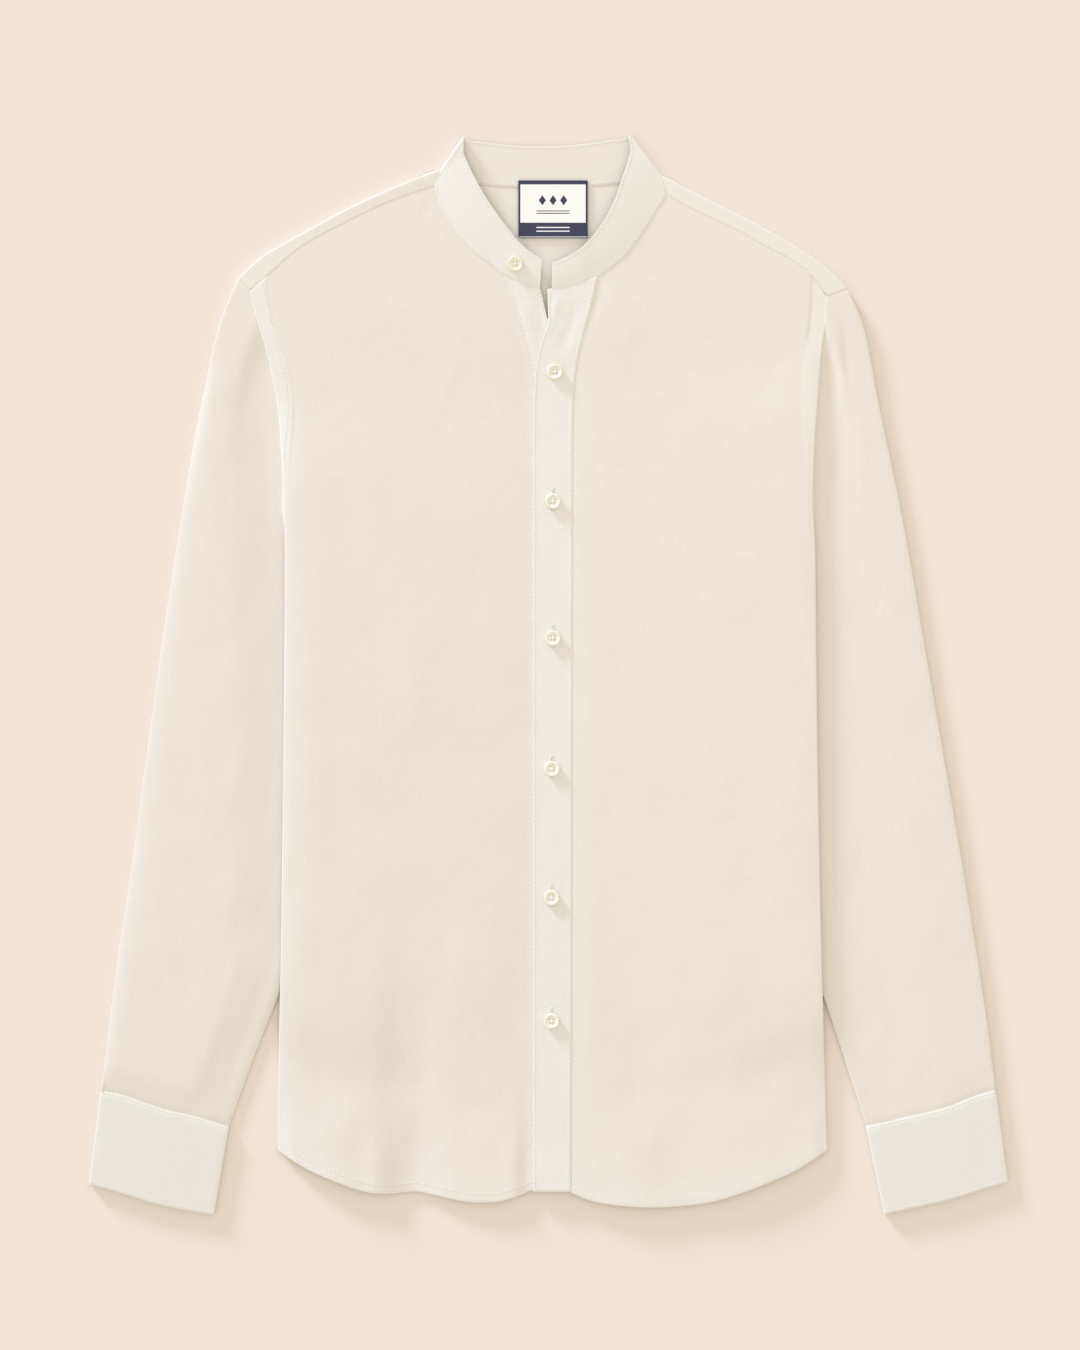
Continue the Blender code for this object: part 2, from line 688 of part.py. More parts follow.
def collar_turn(leaf, back):
    """Sections of the half turn from a leaf's first section to the back's."""
    up = np.array(leaf[1][:2]) - np.array(leaf[0][:2])
    out = np.array((-up[1], up[0])) / np.linalg.norm(up)
    if leaf[0][0] > 0:
        out = -out
    sections = []
    for angle in reversed(TURN_ANGLES):
        section = []
        for front, rear in zip(leaf, back):
            radius = (front[2] - rear[2]) / 2
            plan = np.array(rear[:2]) + out * radius * sin(radians(angle))
            section.append((*plan, rear[2] + radius * (1.0 - cos(radians(angle)))))
        sections.append(tuple(section))
    return sections


def make_collar(material):
    """Stand-up band: its back lies open, its two leaves fold over to the front."""
    floor_z = BAND_CLOTH / 2
    base = spread(COLLAR_BACK_BASE, NECK_COLUMNS + 2)
    edge = spread(COLLAR_BACK_EDGE, NECK_COLUMNS + 2)
    back = [((*low, floor_z), (*high, floor_z)) for low, high in zip(base, edge)]
    right = collar_leaf("right")
    left = collar_leaf("left")
    sections = right[::-1] + collar_turn(right[0], back[0]) + back
    sections += collar_turn(left[0], back[-1])[::-1] + left
    rows = []
    for k, (low, high) in enumerate(sections):
        flat = len(right) + 3 <= k < len(right) + 3 + len(back)
        points = [tuple(mix(np.array(low), np.array(high), t)) for t in BAND_SHARES]
        rows.append(points if flat else collar_row(low, high))
    return make_sheet("collar_band", rows, BAND_CLOTH, material)


# -------------------------------------------------------------------- sleeves
def square_to_fold(plan):
    """Unit directions into the grid from its last column, square to that column."""
    fold = np.array([line[-1] for line in plan])
    into = np.array([line[-2] for line in plan]) - fold
    ahead = np.gradient(fold, axis=0)
    square = np.column_stack([-ahead[:, 1], ahead[:, 0]])
    square /= np.linalg.norm(square, axis=1)[:, None]
    return square * np.sign(np.sum(square * into, axis=1))[:, None]


def make_tube(name, plan, top_z, floor_z, thickness, material):
    """Flattened tube: rows of plan points, with the height of each layer's points.

    Each row runs from the outer fold to the inner fold, and both folds are round.
    """
    rows = []
    for line, tops, floors, last in zip(plan, top_z, floor_z, square_to_fold(plan)):
        line = np.array(line)
        first = (line[1] - line[0]) / np.linalg.norm(line[1] - line[0])
        half = ((tops[0] - floors[0]) / 2, (tops[-1] - floors[-1]) / 2)
        flat = line.copy()
        flat[0] = line[0] + first * half[0]
        flat[-1] = line[-1] + last * half[1]
        row = [(*p, z) for p, z in zip(flat, tops)]
        for angle in TURN_ANGLES:
            reach = half[1] * (1.0 - sin(radians(angle)))
            height = tops[-1] - half[1] * (1.0 - cos(radians(angle)))
            row.append((*(line[-1] + last * reach), height))
        row.extend((*p, z) for p, z in zip(flat[::-1], floors[::-1]))
        for angle in TURN_ANGLES:
            reach = half[0] * (1.0 - sin(radians(angle)))
            height = floors[0] + half[0] * (1.0 - cos(radians(angle)))
            row.append((*(line[0] + first * reach), height))
        rows.append(row)
    return make_sheet(name, rows, thickness, material, closed=True)


def sleeve_plan(side):
    """Plan rows of a sleeve from its armhole to its cuff."""
    sign = SIGN[side]
    column = 1 if side == "right" else 2
    head = offset(armhole_line(side), -sign * (CLOTH / 2 - SEAM))
    columns = len(head) - 1
    cuff = spread([row[:2] for row in CUFF_TABLE[side]], columns)
    outer = [(sign * row[column], row[0]) for row in SLEEVE_OUTER_TABLE]
    inner = [(sign * row[column], row[0]) for row in SLEEVE_INNER_TABLE]
    outer_shares, inner_shares = zip(*SLEEVE_STEPS)
    outer = along(smooth_line([head[0], *outer]), outer_shares)
    inner = along(smooth_line([head[-1], *inner]), inner_shares)
    return coons(head, cuff, outer, inner, outer_shares)


def make_sleeve(side, material):
    """Sleeve laid flat beside the body, its inner fold tucked under the back."""
    plan = sleeve_plan(side)
    count = len(plan[0])
    seam_top = [SHOULDER_Z] + [front_side_z(y) - curl_drop(side, y) for _, y in plan[0][1:]]
    seam_floor = [CLOTH / 2 + back_lift(x, y) for x, y in plan[0]]
    tops = []
    floors = []
    for step, line in zip(SLEEVE_STEPS, plan):
        run = lengths(line)
        top_row = []
        floor_row = []
        for i, (x, y) in enumerate(line):
            u = i / (count - 1)
            reach = mix(*SLEEVE_SEAM_REACH, ramp(u, SLEEVE_REACH_ACROSS))
            near = ease(1.0 - mix(*step, u) / reach)
            inner = min(run[-1] - run[i], abs(x) - side_x(side, y))
            full = ease(run[i] / SLEEVE_ROUNDING[0]) * ease(inner / SLEEVE_ROUNDING[1])
            own = SLEEVE_TOP_Z + SLEEVE_FULLNESS * full
            top_row.append(mix(own, seam_top[i], near))
            floor_row.append(mix(CLOTH / 2, seam_floor[i], near))
        tops.append(top_row)
        floors.append(floor_row)
    return make_tube("sleeve_" + side, plan, tops, floors, CLOTH, material)


def make_cuff(side, material):
    """Closed cuff, flattened, from the sleeve's seam to its open edge."""
    seam = spread([row[:2] for row in CUFF_TABLE[side]], CUFF_COLUMNS)
    edge = spread([row[2:] for row in CUFF_TABLE[side]], CUFF_COLUMNS)
    plan = [mix(seam, edge, share) for share in CUFF_ROWS]
    floors = [[BAND_CLOTH / 2] * (CUFF_COLUMNS + 1)] * len(plan)
    tops = [[BAND_CLOTH / 2 + CUFF_DEPTH + CUFF_CROWN * sin(pi * i / CUFF_COLUMNS)
             for i in range(CUFF_COLUMNS + 1)]] * len(plan)
    return make_tube("cuff_" + side, plan, tops, floors, BAND_CLOTH, material)


# ------------------------------------------------------------ label and buttons
def make_label(material):
    """Woven label on the inside of the back neck, over the neck seam."""
    width, height = LABEL_SIZE
    middle = BAND_CLOTH + SEAM + CLOTH / 2
    rows = [[(LABEL_CENTRE[0] + width * (u - 0.5), LABEL_CENTRE[1] + height * (v - 0.5), middle)
             for u in np.linspace(0.0, 1.0, 4)] for v in np.linspace(0.0, 1.0, 4)]
    return make_sheet("neck_label", rows, CLOTH, material)


def make_button(name, place, normal, material):
    """Turned button with a raised rim, standing on its place along normal."""
    bm = bmesh.new()
    corners = [bm.verts.new((radius, 0.0, height)) for radius, height in BUTTON_PROFILE]
    outline = [bm.edges.new(pair) for pair in zip(corners, corners[1:])]
    bmesh.ops.spin(bm, geom=corners + outline, cent=(0, 0, 0), axis=(0, 0, 1),
                   angle=2 * pi, steps=BUTTON_SIDES, use_merge=True)
    bmesh.ops.remove_doubles(bm, verts=bm.verts, dist=MM * 0.01)
    bmesh.ops.recalc_face_normals(bm, faces=bm.faces)
    turn = Vector((0.0, 0.0, 1.0)).rotation_difference(Vector(normal)).to_matrix().to_4x4()
    seat = Matrix.Translation(Vector(place) * MM) @ turn @ Matrix.Scale(MM, 4)
    bmesh.ops.transform(bm, matrix=seat, verts=bm.verts)
    mesh = bpy.data.meshes.new(name)
    bm.to_mesh(mesh)
    bm.free()
    mesh.materials.append(material)
    mesh.shade_smooth()
    item = bpy.data.objects.new(name, mesh)
    bpy.context.scene.collection.objects.link(item)
    return item


def collar_seat():
    """Place and normal of the collar's button on the right leaf."""
    rows = [collar_row(low, high) for low, high in collar_leaf("right")]
    target = np.array(BUTTON_COLLAR)
    best = None
    for this, after in zip(rows, rows[1:]):
        for a, b, c in zip(this, this[1:], after):
            centre = (np.array(b) + np.array(c)) / 2
            away = float(np.linalg.norm(centre[:2] - target))
            if best is None or away < best[0]:
                normal = np.cross(np.array(b) - np.array(a), np.array(c) - np.array(a))
                best = (away, np.array(a), normal / np.linalg.norm(normal))
    _, corner, normal = best
    if normal[2] < 0:
        normal = -normal
    drop = (corner[:2] - target) @ normal[:2] / normal[2]
    seat = np.array((*target, corner[2] + drop)) + normal * (BAND_CLOTH / 2 + SEAM)
    return seat, normal


def make_buttons(material):
    """The collar's button and the six down the placket."""
    seat, normal = collar_seat()
    buttons = [make_button("button_collar", seat, normal, material)]
    for number, (x, y) in enumerate(BUTTON_COLUMN, start=1):
        low = placket_z("top", y - BUTTON_DIAMETER / 2)
        high = placket_z("top", y + BUTTON_DIAMETER / 2)
        slope = (high - low) / BUTTON_DIAMETER
        lift = BAND_CLOTH / 2 + SEAM
        place = (x, y, placket_z("top", y) + lift)
        buttons.append(make_button("button_front_%d" % number, place, (0.0, -slope, 1.0),
                                   material))
    return buttons


# ----------------------------------------------------------------- whole shirt
def centre_on_origin(items):
    """Move every mesh so that the whole box's bottom centre is the origin."""
    graph = bpy.context.evaluated_depsgraph_get()
    corners = []
    for item in items:
        shape = item.evaluated_get(graph).to_mesh()
        corners.extend(vertex.co.copy() for vertex in shape.vertices)
    low = [min(c[k] for c in corners) for k in range(3)]
    high = [max(c[k] for c in corners) for k in range(3)]
    shift = Matrix.Translation((-(low[0] + high[0]) / 2, -(low[1] + high[1]) / 2, -low[2]))
    for item in items:
        item.data.transform(shift)


def main():
    """Build every piece."""
    for item in list(bpy.data.objects):
        bpy.data.objects.remove(item, do_unlink=True)
    linen = {name: make_material("linen_" + name, LINEN, 0.9)
             for name in ("back", "front_right", "front_left", "sleeve_right", "sleeve_left")}
    double = {name: make_material("linen_double_" + name, LINEN_DOUBLE, 0.88)
              for name in ("yoke", "under", "top", "collar", "cuff_right", "cuff_left")}
    items = [make_back(linen["back"]), make_yoke(double["yoke"])]
    for side in SIDES:
        items.append(make_front(side, linen["front_" + side]))
        items.append(make_sleeve(side, linen["sleeve_" + side]))
        items.append(make_cuff(side, double["cuff_" + side]))
    items.append(make_placket("placket_button", "under", "right",
                              (UNDER_LEFT, UNDER_RIGHT), double["under"]))
    items.append(make_placket("placket_buttonhole", "top", "left",
                              (TOP_LEFT, TOP_RIGHT), double["top"]))
    items.append(make_collar(double["collar"]))
    items.append(make_label(make_material("label_satin", LABEL_COLOUR, 0.6)))
    items.extend(make_buttons(make_material("button_resin", BUTTON_COLOUR, 0.35)))
    centre_on_origin(items)


main()
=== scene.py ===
"""Looks of a linen shirt with a mandarin collar, buttoned and laid flat on its back.

+X is towards the wearer's left, +Y towards the collar and +Z up. The tables and the
sizes of the classes are millimetres; meshes and materials are metres. Every cloth piece
but the label starts from the few points of its solid, is drawn out into a fine smooth
sheet, gets its creases, hems and felled seams, and is then given its wall.
"""
import logging
from dataclasses import dataclass, field
from enum import Enum
from math import cos, pi, radians, sin

import bpy
import numpy as np
from mathutils import Matrix, Vector
from numpy.linalg import norm

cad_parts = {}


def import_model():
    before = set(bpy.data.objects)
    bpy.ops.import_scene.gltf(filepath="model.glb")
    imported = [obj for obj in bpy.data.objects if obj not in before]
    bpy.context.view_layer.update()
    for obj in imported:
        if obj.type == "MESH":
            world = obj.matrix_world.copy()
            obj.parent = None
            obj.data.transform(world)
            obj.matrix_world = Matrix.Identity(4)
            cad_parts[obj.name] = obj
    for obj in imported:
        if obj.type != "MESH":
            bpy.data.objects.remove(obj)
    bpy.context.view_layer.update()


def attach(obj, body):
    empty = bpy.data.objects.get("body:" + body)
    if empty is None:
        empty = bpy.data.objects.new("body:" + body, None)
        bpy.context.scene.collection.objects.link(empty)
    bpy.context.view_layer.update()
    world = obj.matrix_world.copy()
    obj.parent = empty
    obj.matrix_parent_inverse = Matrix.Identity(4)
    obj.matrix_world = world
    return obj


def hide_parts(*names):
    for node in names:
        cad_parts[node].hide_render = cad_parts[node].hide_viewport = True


LOG = logging.getLogger("shirt")
MM = 0.001
FOLD_SQUARE = 0.15     # 1 makes round folds, less makes them squarer
FOLD_FLAT = 0.12       # reach inwards of a fold, as a share of its radius
RIM_ROUND = 0.08       # rounding of a rim, as a share of the wall
RIM_SEGMENTS = 2       # pieces of that rounding
RIM_ANGLE = 60.0       # rims turn by more than this many degrees
THREAD_LIFT = 0.02     # height of a row of stitches above the cloth
GOLDEN_TURN = 2.39996  # angle from one wave of worn cloth to the next
TURN_ANGLES = (45.0, 90.0, 135.0)     # where a half turn has points
RIPPLE_BENDS = ((9.0, 61.0), (7.0, 47.0))  # depth of a wave's bends, length over 2 pi
RIPPLES = (
    # wavelength and height of each wave of worn cloth
    (94.0, 0.1), (67.0, 0.07), (43.0, 0.045), (29.0, 0.028), (19.0, 0.014),
)
Pair = tuple[float, float]
Triple = tuple[float, float, float]
Colour = Triple
Array = np.ndarray
Values = Array | float
Store = tuple[list, list]
Socket = bpy.types.NodeSocket
Material = bpy.types.Material
Piece = bpy.types.Object


class Side(Enum):
    """A side of the wearer. The right one lies at -X."""

    RIGHT = "right"
    LEFT = "left"

    @property
    def sign(self) -> float:
        """Direction along X: -1 on the right, +1 on the left."""
        return -1.0 if self is Side.RIGHT else 1.0

    @property
    def number(self) -> int:
        """Place in a pair of values, the right side's first."""
        return 0 if self is Side.RIGHT else 1


class Band(Enum):
    """The two bands of the front opening."""

    BUTTON = "button"
    BUTTONHOLE = "buttonhole"

    @property
    def side(self) -> Side:
        """The front that the band is sewn to."""
        return Side.RIGHT if self is Band.BUTTON else Side.LEFT


class Edge(Enum):
    """An edge of a grid of cloth: its first or last row, or its first or last column."""

    FIRST_ROW = "first_row"
    LAST_ROW = "last_row"
    FIRST_COLUMN = "first_column"
    LAST_COLUMN = "last_column"


# ---- shape tables
SIDE_TABLE = (
    # y, right, left: distance of the body's edge from the centre
    (287, 224, 209.5), (265.5, 218.5, 208), (243, 212, 205), (220.5, 206.5, 203), (190.5, 202, 200.5),
    (160.5, 200, 199), (128, 198.5, 198.5), (85, 197.5, 200), (-50, 198.5, 201.5), (-207, 200.5, 204.5),
    (-320, 203, 208), (-357, 203, 209),
)
SLEEVE_OUTER_TABLE = (
    # y, right, left: distance of the sleeve's outer fold from the centre
    (277, 241, 230.5), (249, 250, 238.5), (220, 256, 244), (187, 263, 250.5), (145, 270.5, 259.5),
    (93, 278.5, 269.5), (40, 287, 278.5), (-50, 299.5, 294), (-140, 311.5, 309.5), (-230, 325, 324),
    (-275, 330.5, 330.5), (-313, 335, 335),
)
SLEEVE_INNER_TABLE = (
    # y, right, left: distance of the sleeve's inner fold from the centre
    (117, 196.6, 196.8), (100, 193.6, 193.8), (70, 182, 182.5), (40, 168, 168), (-5, 156.5, 156.5),
    (-65, 158, 158), (-125, 168, 168), (-181, 183, 184), (-237, 201.5, 205), (-275, 217, 218),
    (-305, 227, 227.5), (-319.5, 232, 231.5), (-339.8, 240.5, 239),
)
SLEEVE_STEPS = (
    # share of the outer fold's length, share of the inner fold's length
    (0, 0), (0.045, 0.008), (0.09, 0.016), (0.135, 0.026), (0.18, 0.04), (0.225, 0.06), (0.27, 0.09),
    (0.315, 0.13), (0.365, 0.18), (0.42, 0.24), (0.48, 0.31), (0.545, 0.39), (0.615, 0.48), (0.69, 0.57),
    (0.765, 0.67), (0.84, 0.77), (0.92, 0.88), (1, 1),
)
CUFF_TABLE = {
    # seam x, seam y, edge x, edge y
    Side.RIGHT: (
        (-335, -313.5, -344, -382.5), (-322, -316, -331, -386), (-304, -322, -313, -391.5),
        (-286, -328, -295, -397), (-268, -332, -277, -401), (-240.5, -340, -251.5, -405.5),
    ),
    Side.LEFT: (
        (335, -313, 344, -381), (323.5, -316, 328.5, -385.5), (305.5, -323.5, 311, -391),
        (287.5, -329, 293, -396), (269.5, -333, 275, -400), (239, -340, 252.5, -405),
    ),
}
SHOULDER_FOLD = {
    Side.RIGHT: (
        (-233, 295.5), (-215, 312), (-186.5, 328.5), (-149, 349), (-111.5, 366), (-84.8, 376.5),
    ),
    Side.LEFT: (
        (224, 288), (217, 296), (203.5, 307.5), (181, 322.5), (151, 339), (113.5, 358), (87.8, 371.5),
    ),
}
YOKE_SEAM = {
    Side.RIGHT: (
        (-224, 287), (-212.5, 296), (-195.5, 313), (-171.5, 328.5), (-147.5, 341), (-123.5, 352.5),
        (-99.5, 361.5), (-85, 366),
    ),
    Side.LEFT: (
        (209.5, 283), (197.5, 298.5), (184, 309), (163, 320), (142, 332), (121, 342), (100, 352),
        (87.5, 360),
    ),
}
NECK_SEAM = {
    Side.RIGHT: (
        (-85, 366), (-82.3, 355.5), (-78, 344.5), (-69, 330.5), (-54.5, 315), (-43, 307), (-33.5, 299),
    ),
    Side.LEFT: (
        (87.5, 360), (84.5, 355.5), (80, 346.5), (72.5, 334.5), (61, 318.5), (50, 307.5), (36.5, 298),
    ),
}
BAND_TOP = {
    Side.RIGHT: (
        (-33.5, 299), (-25, 294.8), (-13.5, 289.5), (-6.4, 288.3),
    ),
    Side.LEFT: (
        (36.5, 298), (29, 295), (17, 291.2), (2.4, 288.3),
    ),
}
COLLAR_EDGE = {
    Side.RIGHT: (
        (-65.6, 402.8), (-64, 393), (-60.5, 383), (-55, 371.5), (-47.5, 358), (-40, 346.5), (-32.5, 337),
        (-23.5, 325), (-14, 316.5), (-4.9, 310.5),
    ),
    Side.LEFT: (
        (62.6, 405), (62, 397), (59.5, 384), (54.5, 369.5), (50, 356), (43.5, 343), (35.5, 331),
        (26, 320.5), (15, 313), (3, 308),
    ),
}
COLLAR_BACK_BASE = (
    (-81.6, 375.2), (-66.5, 370.6), (-50, 367), (-22, 365.4), (1, 365), (24, 365.8), (46, 367.6),
    (66, 369.6), (84.8, 372.2),
)
COLLAR_BACK_EDGE = (
    (-63.4, 401.6), (-52, 399.8), (-29, 396.8), (-2.5, 396), (23.5, 397.4), (45, 400.6), (60.2, 403.6),
)
PLACKET_TABLE = (
    # y, button band's left and right edge, buttonhole band's left and right edge
    (299, -33.5, -6.4, 3.6, 36.5), (285, -28.9, -5.6, -1.6, 34.1), (271.5, -23.8, -2.2, 0.4, 30.4),
    (253, -18, 3.4, -4.6, 25.4), (236, -13.1, 8, -8.9, 21.6), (219, -10.6, 12, -11, 19.1),
    (190, -10.1, 15.6, -11.8, 18), (150, -10.1, 16.1, -12, 17.6), (-20, -10.1, 16.1, -12, 17.3),
    (-245, -10.1, 16.1, -12, 16.9), (-390, -10.1, 16.1, -12, 16.2),
)
BUTTON_LEFT, BUTTON_RIGHT, HOLE_LEFT, HOLE_RIGHT = 1, 2, 3, 4
HEM_TABLE = {
    Side.RIGHT: (
        (-203, -357.5), (-186.5, -367.5), (-171.5, -375), (-156.5, -381), (-141.5, -386.5),
        (-126.5, -389.2), (-111.5, -388.8), (-96.5, -388.2), (-81.5, -391.5), (-66.5, -394.5),
        (-51.5, -396), (-36.5, -395), (-21.5, -390.5), (-10.1, -387),
    ),
    Side.LEFT: (
        (209, -356.5), (188.5, -370), (173.5, -377), (158.5, -383.5), (143.5, -389), (128.5, -393.8),
        (113.5, -396.8), (98.5, -398.6), (76, -399.4), (53.5, -398), (38.5, -396), (25, -392.5),
        (16.2, -388.5),
    ),
}
HEM_ARCH_X = -99.0
PLACKET_HEM_Y = {Side.RIGHT: -386, Side.LEFT: -388.0}
FOLD_TABLE = {
    # x0, y0, x1, y1, half width, height: the broad folds that the solids have
    Side.RIGHT: (
        (-104, -180, -104, -420, 17, -1.1), (-82, 115, -128, -75, 26, 0.7),
        (-150, 110, -95, -30, 22, -0.5), (-150, -110, -142, -400, 26, 0.8),
        (-52, -90, -58, -400, 24, 0.8), (-150, 230, -120, 60, 20, 0.5),
    ),
    Side.LEFT: (
        (165, 85, 95, -20, 20, 0.5), (120, -140, 128, -400, 26, 0.7), (60, -110, 55, -400, 22, -0.6),
        (88, 190, 104, 10, 26, 0.5), (156, 215, 176, 120, 16, -0.4), (150, -40, 160, -330, 24, -0.5),
    ),
}
FRONT_CREASES = {
    # x0, y0, x1, y1, bow, half width, height: the small creases over them
    Side.RIGHT: (
        (-156, -300, -158, -440, 0, 26, 2.5), (-130, -330, -129, -440, 1, 10, 1.2),
        (-100, -320, -99, -440, -1, 15, -1.5), (-46, -320, -46, -440, 0, 24, 1.5),
        (-27, -340, -26, -440, 0, 10, 0.9), (-91, 372, -91.5, 338, 0, 2.6, -0.55),
        (-62, 262, -100, 176, 5, 7, 0.16), (-178, 246, -150, 168, -6, 8, 0.18),
        (-182, 150, -128, 84, 7, 9, -0.2), (-186, 96, -140, 60, 4, 7, 0.16),
        (-44, 150, -60, 36, 5, 9, -0.14), (-112, 40, -84, -62, -6, 10, 0.2),
        (-168, -20, -160, -140, 4, 10, -0.18), (-36, -130, -44, -250, -4, 9, 0.16),
        (-88, -150, -80, -262, 4, 8, -0.14), (-130, -190, -128, -300, -3, 9, 0.18),
        (-178, -250, -170, -350, 4, 8, -0.16), (-30, -300, -28, -385, 2, 7, 0.18),
    ),
    Side.LEFT: (
        (64, -310, 66, -450, 0, 26, 1.6), (146, -300, 150, -440, 0, 32, 1.5),
        (114, 356, 116, 326, 0, 2.6, -0.4), (184, 322, 188, 288, 0, 2.8, -0.4),
        (76, 272, 110, 190, -5, 8, 0.14), (180, 262, 150, 196, 5, 7, -0.14),
        (192, 104, 128, 70, -5, 8, 0.2), (188, 62, 132, 22, -4, 9, -0.16), (46, 160, 52, 44, -4, 9, 0.14),
        (112, 30, 96, -90, 6, 10, -0.16), (182, -60, 170, -190, -4, 10, 0.16),
        (44, -60, 40, -190, 3, 9, -0.12), (90, -150, 98, -270, -4, 10, 0.16),
        (60, -250, 66, -385, 3, 9, -0.14), (140, -260, 150, -378, -4, 10, 0.2),
        (184, -270, 186, -352, 3, 8, -0.14),
    ),
}
SLEEVE_CREASES = {
    # the same, on the sleeves
    Side.RIGHT: (
        (-256, 262, -256, 60, 4, 12, 0.5), (-262, 120, -236, 40, -5, 10, 0.2),
        (-214, 60, -262, 6, 5, 9, -0.18), (-284, -10, -250, -96, 6, 11, 0.22),
        (-222, -70, -246, -150, -4, 9, -0.18), (-300, -130, -286, -230, 4, 10, 0.18),
        (-256, -180, -262, -270, 3, 9, 0.16),
    ),
    Side.LEFT: (
        (218, 290, 226, 206, 1, 3, -0.35), (232, 256, 228, 160, -4, 8, 0.2),
        (246, 150, 228, 60, 5, 9, -0.18), (220, 40, 262, -20, -5, 10, 0.2),
        (282, -20, 262, -110, -5, 10, -0.16), (236, -110, 262, -190, 4, 9, 0.2),
        (300, -140, 284, -240, -4, 10, 0.16), (250, -220, 266, -290, -3, 8, -0.14),
    ),
}
BAND_CREASES = {
    # the same, on the two front bands
    Band.BUTTON: (
        (-20, 282, -8, 226, 0, 4.5, 0.5), (-8, 290, 0, 244, 0, 5, -0.4),
    ),
    Band.BUTTONHOLE: (
        (22, 284, 6, 236, 2, 5, -0.55), (10, 288, -4, 250, 0, 4, 0.5),
    ),
}
BACK_CREASES = (
    (-120, 200, -60, 60, 8, 10, 0.35), (110, 190, 62, 70, -8, 10, 0.3), (-30, 120, -44, -60, 6, 12, 0.3),
    (40, 40, 52, -140, -6, 12, 0.35), (-70, -120, -60, -330, 6, 11, 0.35),
    (66, -190, 60, -370, -5, 11, 0.3), (0, -200, 6, -360, 4, 12, 0.25),
)
BUTTON_COLLAR = (-24.8, 307.5)
BUTTON_COLUMN = (
    (4.9, 226.5), (3.4, 129.5), (3.4, 27), (2.6, -71), (2.2, -167.6), (2.2, -260),
)
LABEL_CENTRE = (3.4, 348.8)


# ---- curve tools
def ease(value: Values) -> Values:
    """Smooth step from 0 to 1 while value goes from 0 to 1."""
    t = np.clip(value, 0.0, 1.0)
    return t * t * (3.0 - 2.0 * t)


def ramp(value: Values, span: Pair) -> Values:
    """Smooth step from 0 to 1 while value goes from span's start to its end."""
    return ease((value - span[0]) / (span[1] - span[0]))


def mix(a: Values, b: Values, share: Values) -> Values:
    """Straight blend of a and b."""
    return a + (b - a) * share


def tangent(before: Array, after: Array, spans: Pair) -> Array:
    """Slope of a curve at a point, limited so that the curve never swings past it.

    Args:
        before: slope of the interval before the point.
        after: slope of the interval after it.
        spans: lengths of both intervals.

    Returns:
        The slope, 0 where the two have opposite signs.
    """
    blend = (before * spans[1] + after * spans[0]) / (spans[0] + spans[1])
    limit = 3.0 * np.minimum(np.abs(before), np.abs(after))
    return np.where(before * after > 0.0, np.clip(blend, -limit, limit), 0.0)


def refine_line(line: Array, steps: list[int]) -> Array:
    """Draw a smooth curve through a line's points.

    Args:
        line: the points, one a row. A NaN point leaves a gap.
        steps: how many pieces each interval is cut into.

    Returns:
        The finer line, which goes through every given point.
    """
    there = ~np.isnan(line[:, 0])
    span = norm(np.diff(line, axis=0), axis=1)
    span = np.where(span > 0.0, span, 1.0)[:, None]
    slope = np.diff(line, axis=0) / span
    parts = []
    for k, count in enumerate(steps):
        start, end = slope[k], slope[k]
        if k > 0 and there[k - 1]:
            start = tangent(slope[k - 1], slope[k], (float(span[k - 1, 0]), float(span[k, 0])))
        if k + 1 < len(slope) and there[k + 2]:
            end = tangent(slope[k], slope[k + 1], (float(span[k, 0]), float(span[k + 1, 0])))
        t = np.linspace(0.0, 1.0, count, endpoint=False)[:, None]
        part = ((2 * t ** 3 - 3 * t ** 2 + 1) * line[k] + (t ** 3 - 2 * t ** 2 + t) * span[k] * start
                + (3 * t ** 2 - 2 * t ** 3) * line[k + 1] + (t ** 3 - t ** 2) * span[k] * end)
        part[0] = line[k]
        parts.append(part)
    parts.append(line[-1:])
    return np.vstack(parts)


def refine(grid: Array, row_steps: int | list[int], column_steps: int | list[int],
           closed: bool = False) -> Array:
    """Draw out a coarse grid of points into a fine one.

    Args:
        grid: rows of points. NaN points leave places open.
        row_steps: pieces between two rows, or a list with one number for each interval.
        column_steps: the same between two columns.
        closed: the last column joins the first.

    Returns:
        The fine grid of points.
    """
    if isinstance(row_steps, int):
        row_steps = [row_steps] * (len(grid) - 1)
    if isinstance(column_steps, int):
        column_steps = [column_steps] * (grid.shape[1] if closed else grid.shape[1] - 1)
    tall = np.stack([refine_line(grid[:, i], row_steps) for i in range(grid.shape[1])], axis=1)
    if not closed:
        return np.stack([refine_line(row, column_steps) for row in tall])
    steps = column_steps[-2:] + column_steps + column_steps[:1]
    first = sum(column_steps[-2:])
    rows = [refine_line(np.vstack([row[-2:], row, row[:2]]), steps) for row in tall]
    return np.stack([row[first:first + sum(column_steps)] for row in rows])


def smooth_line(points: tuple, steps: int = 12) -> Array:
    """Many points on an evenly timed smooth curve through the given ones."""
    p = np.array(points, float)
    ends = np.vstack([2 * p[0] - p[1], p, 2 * p[-1] - p[-2]])
    line = []
    for a, b, c, d in zip(ends, ends[1:], ends[2:], ends[3:]):
        for t in np.linspace(0.0, 1.0, steps, endpoint=False):
            line.append(0.5 * (2 * b + (c - a) * t + (2 * a - 5 * b + 4 * c - d) * t ** 2
                               + (3 * b - a - 3 * c + d) * t ** 3))
    line.append(p[-1])
    return np.array(line)


def lengths(line: Array) -> Array:
    """Distance along a line at each of its points."""
    steps = norm(np.diff(line, axis=0), axis=1)
    return np.concatenate([[0.0], np.cumsum(steps)])


def along(line: Array, shares: Array | tuple) -> Array:
    """Points at the given shares of a line's length."""
    run = lengths(line)
    want = np.array(shares) * run[-1]
    return np.column_stack([np.interp(want, run, line[:, k]) for k in range(line.shape[1])])


